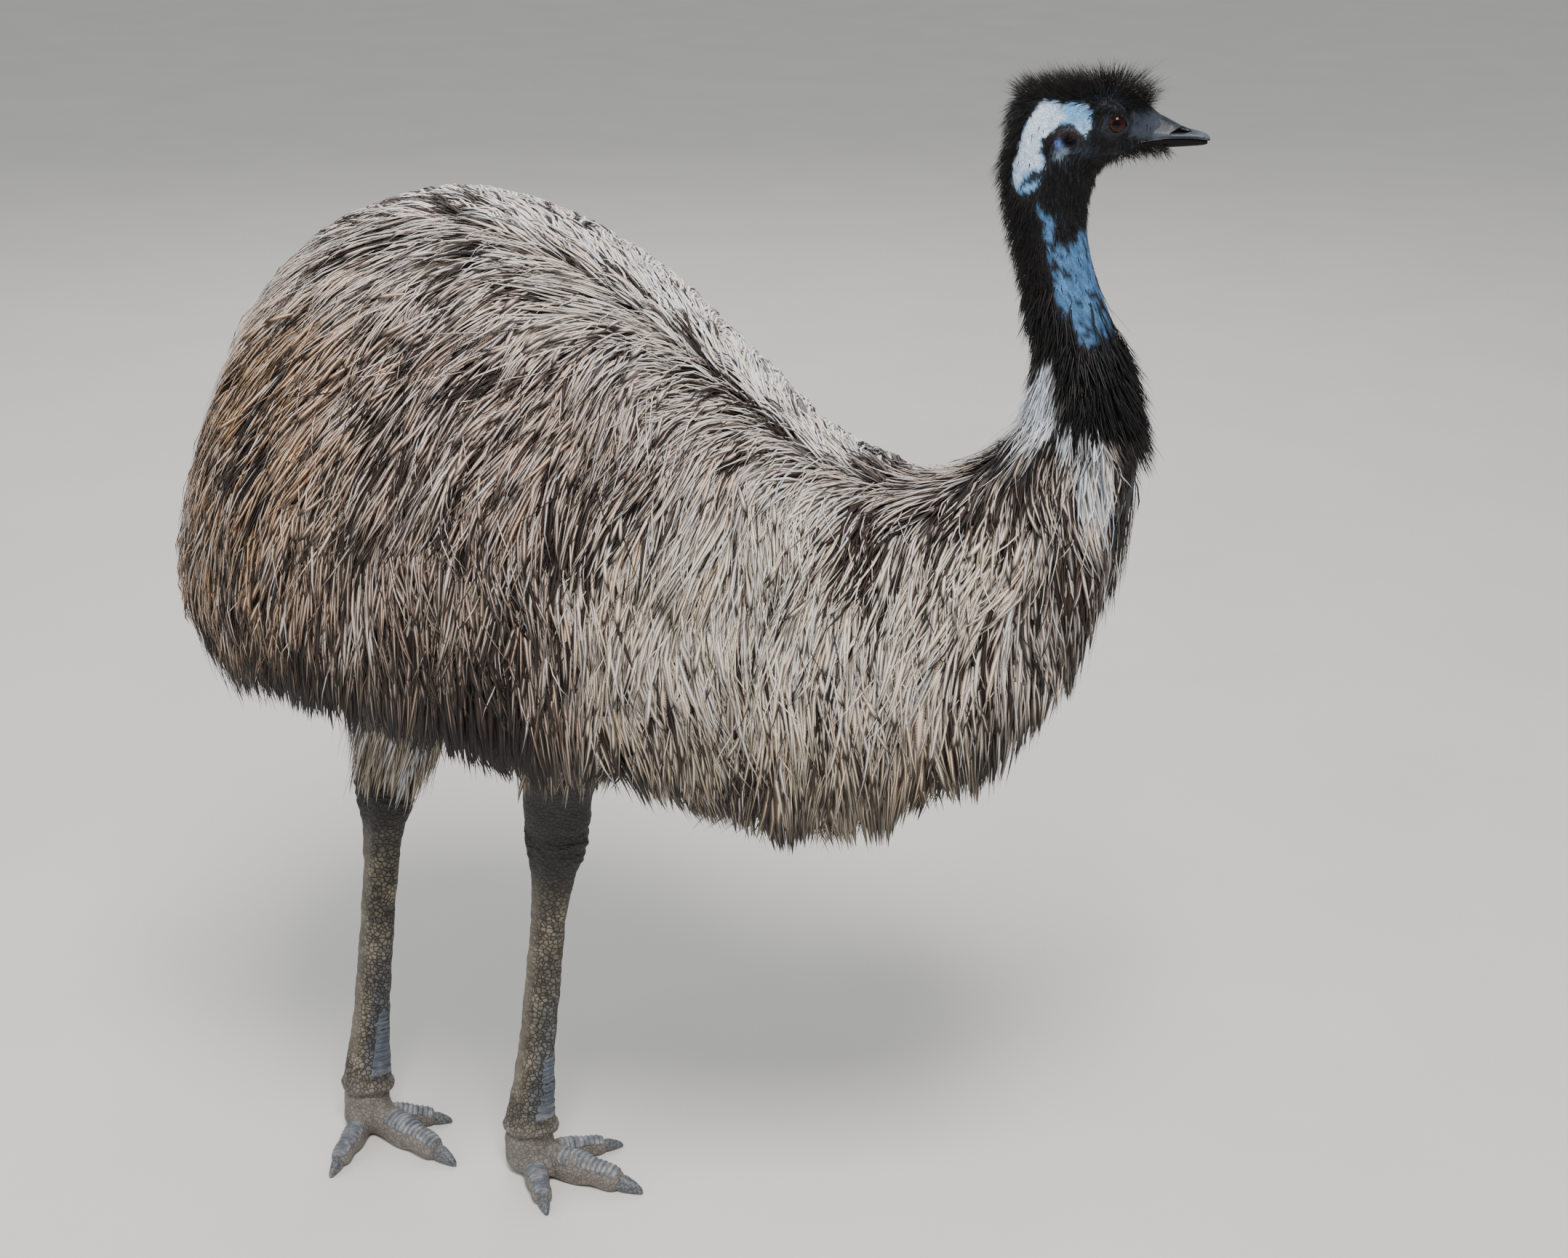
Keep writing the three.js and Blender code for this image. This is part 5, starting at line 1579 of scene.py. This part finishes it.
def thigh_tufts(side, tones, low, reach):
    hock, hip = LEGS[side]["hock"], LEGS[side]["hip"]
    place = limb_place(hock, hip, THIGH)
    share, round_ = low + (0.87 - low) * rng.random(TUFTS) ** 0.8, rng.random(TUFTS)
    at = place((share - THIGH[0][0]) / (THIGH[-1][0] - THIGH[0][0]), round_)
    normal = unit(at - (hock + (hip - hock) * share[:, None]))
    way = unit(unit(hock - hip) + jitter(TUFTS, 0.12) + normal * 0.06)
    length = reach * (0.7 + 0.6 * rng.random(TUFTS)) * (0.55 + 0.6 * share)
    t = np.linspace(0, 1, 6)[None, :, None]
    level = np.clip(share[:, None, None] - t * (length / 260)[:, None, None], 0.02, 1)
    core = hock + (hip - hock) * level
    path = at[:, None] + way[:, None] * length[:, None, None] * t
    path = core + (path - core) * (1 - 0.35 * t * (1 - share)[:, None, None])
    path = path + normal[:, None] * (8 * rng.random(TUFTS))[:, None, None] * np.sin(t * 2)
    out = unit(normal[:, None] + 0 * path)
    path = gather(path, 0.5 * rng.random(TUFTS), 0.08)[0]
    pick = rng.random(TUFTS)[:, None]
    first, second, third = map(paint, tones)
    tone = np.where(pick < 0.4, first, np.where(pick < 0.75, second, third))
    tone = tone * (0.8 + 0.4 * rng.random(TUFTS))[:, None]
    tint = np.column_stack([tone, 0.3 + 0.4 * rng.random(TUFTS)])
    half = width_along(1.2 + 1.6 * rng.random(TUFTS), 6)
    thing = blades(f"thigh_tufts_{side}", path, out, half, tint,
                   np.stack([share, round_], -1), BODY_FEATHER)


thigh_tufts("right", ("6d6255", "958a7a", "2c251f"), 0.52, 56)
thigh_tufts("left", ("d0c6b2", "e9f0f8", "9a8d78"), 0.12, 96)

# %% [markdown]
# ## Light, floor and camera
# The bird stands on a plain pale floor under large soft lights.
# %% Floor and lights
def stage_finish():
    kit = Finish("floor", Roughness=0.9)
    kit.feed("Base Color", kit.blend(kit.noise(3), paint("d9d7d2"), paint("e4e2dd")))
    return kit.material


bm = bmesh.new()
bmesh.ops.create_grid(bm, x_segments=4, y_segments=4, size=14)
floor = as_object("floor", bm, stage_finish())


def facing(way):
    """The turn that points a lamp or a camera along a direction."""
    return way.to_track_quat("-Z", "Y").to_euler()


def area_light(name, at, size, power, colour):
    lamp = bpy.data.lights.new(name, "AREA")
    lamp.size, lamp.energy, lamp.color = size, power, colour
    thing = put_in_scene(name, lamp)
    thing.location = at
    thing.rotation_euler = facing(Vector((0, 0, 0.7)) - Vector(at))


area_light("key", (0.9, -2.4, 4.9), 1.7, 312, (1, 0.965, 0.93))
area_light("fill", (-3.6, -1.6, 2.4), 3.5, 50, (0.95, 0.97, 1))
area_light("back", (-1.2, 3.6, 3.6), 3.0, 80, (0.97, 0.98, 1))
world = bpy.data.worlds.new("studio")
world.use_nodes = True
sky = world.node_tree.nodes["Background"]
sky.inputs["Color"].default_value = (0.9, 0.92, 0.96, 1)
sky.inputs["Strength"].default_value = 0.5
bpy.context.scene.world = world

# %% [markdown]
# The camera stands where the one of the photo did: to the right of the bird, a little ahead,
# and above its back.
# %% Camera
lens = bpy.data.cameras.new("camera")
lens.lens, lens.sensor_width = 55.1, 36
camera = put_in_scene("camera", lens)
camera.location = metres((893, -2282, 1638)).tolist()
pitch, turn_left = math.radians(22), math.radians(12)
look = Vector((-math.sin(turn_left) * math.cos(pitch), math.cos(turn_left) * math.cos(pitch),
               -math.sin(pitch)))
camera.rotation_euler = facing(look)
bpy.context.scene.camera = camera
print("camera at", [round(x, 3) for x in camera.location])
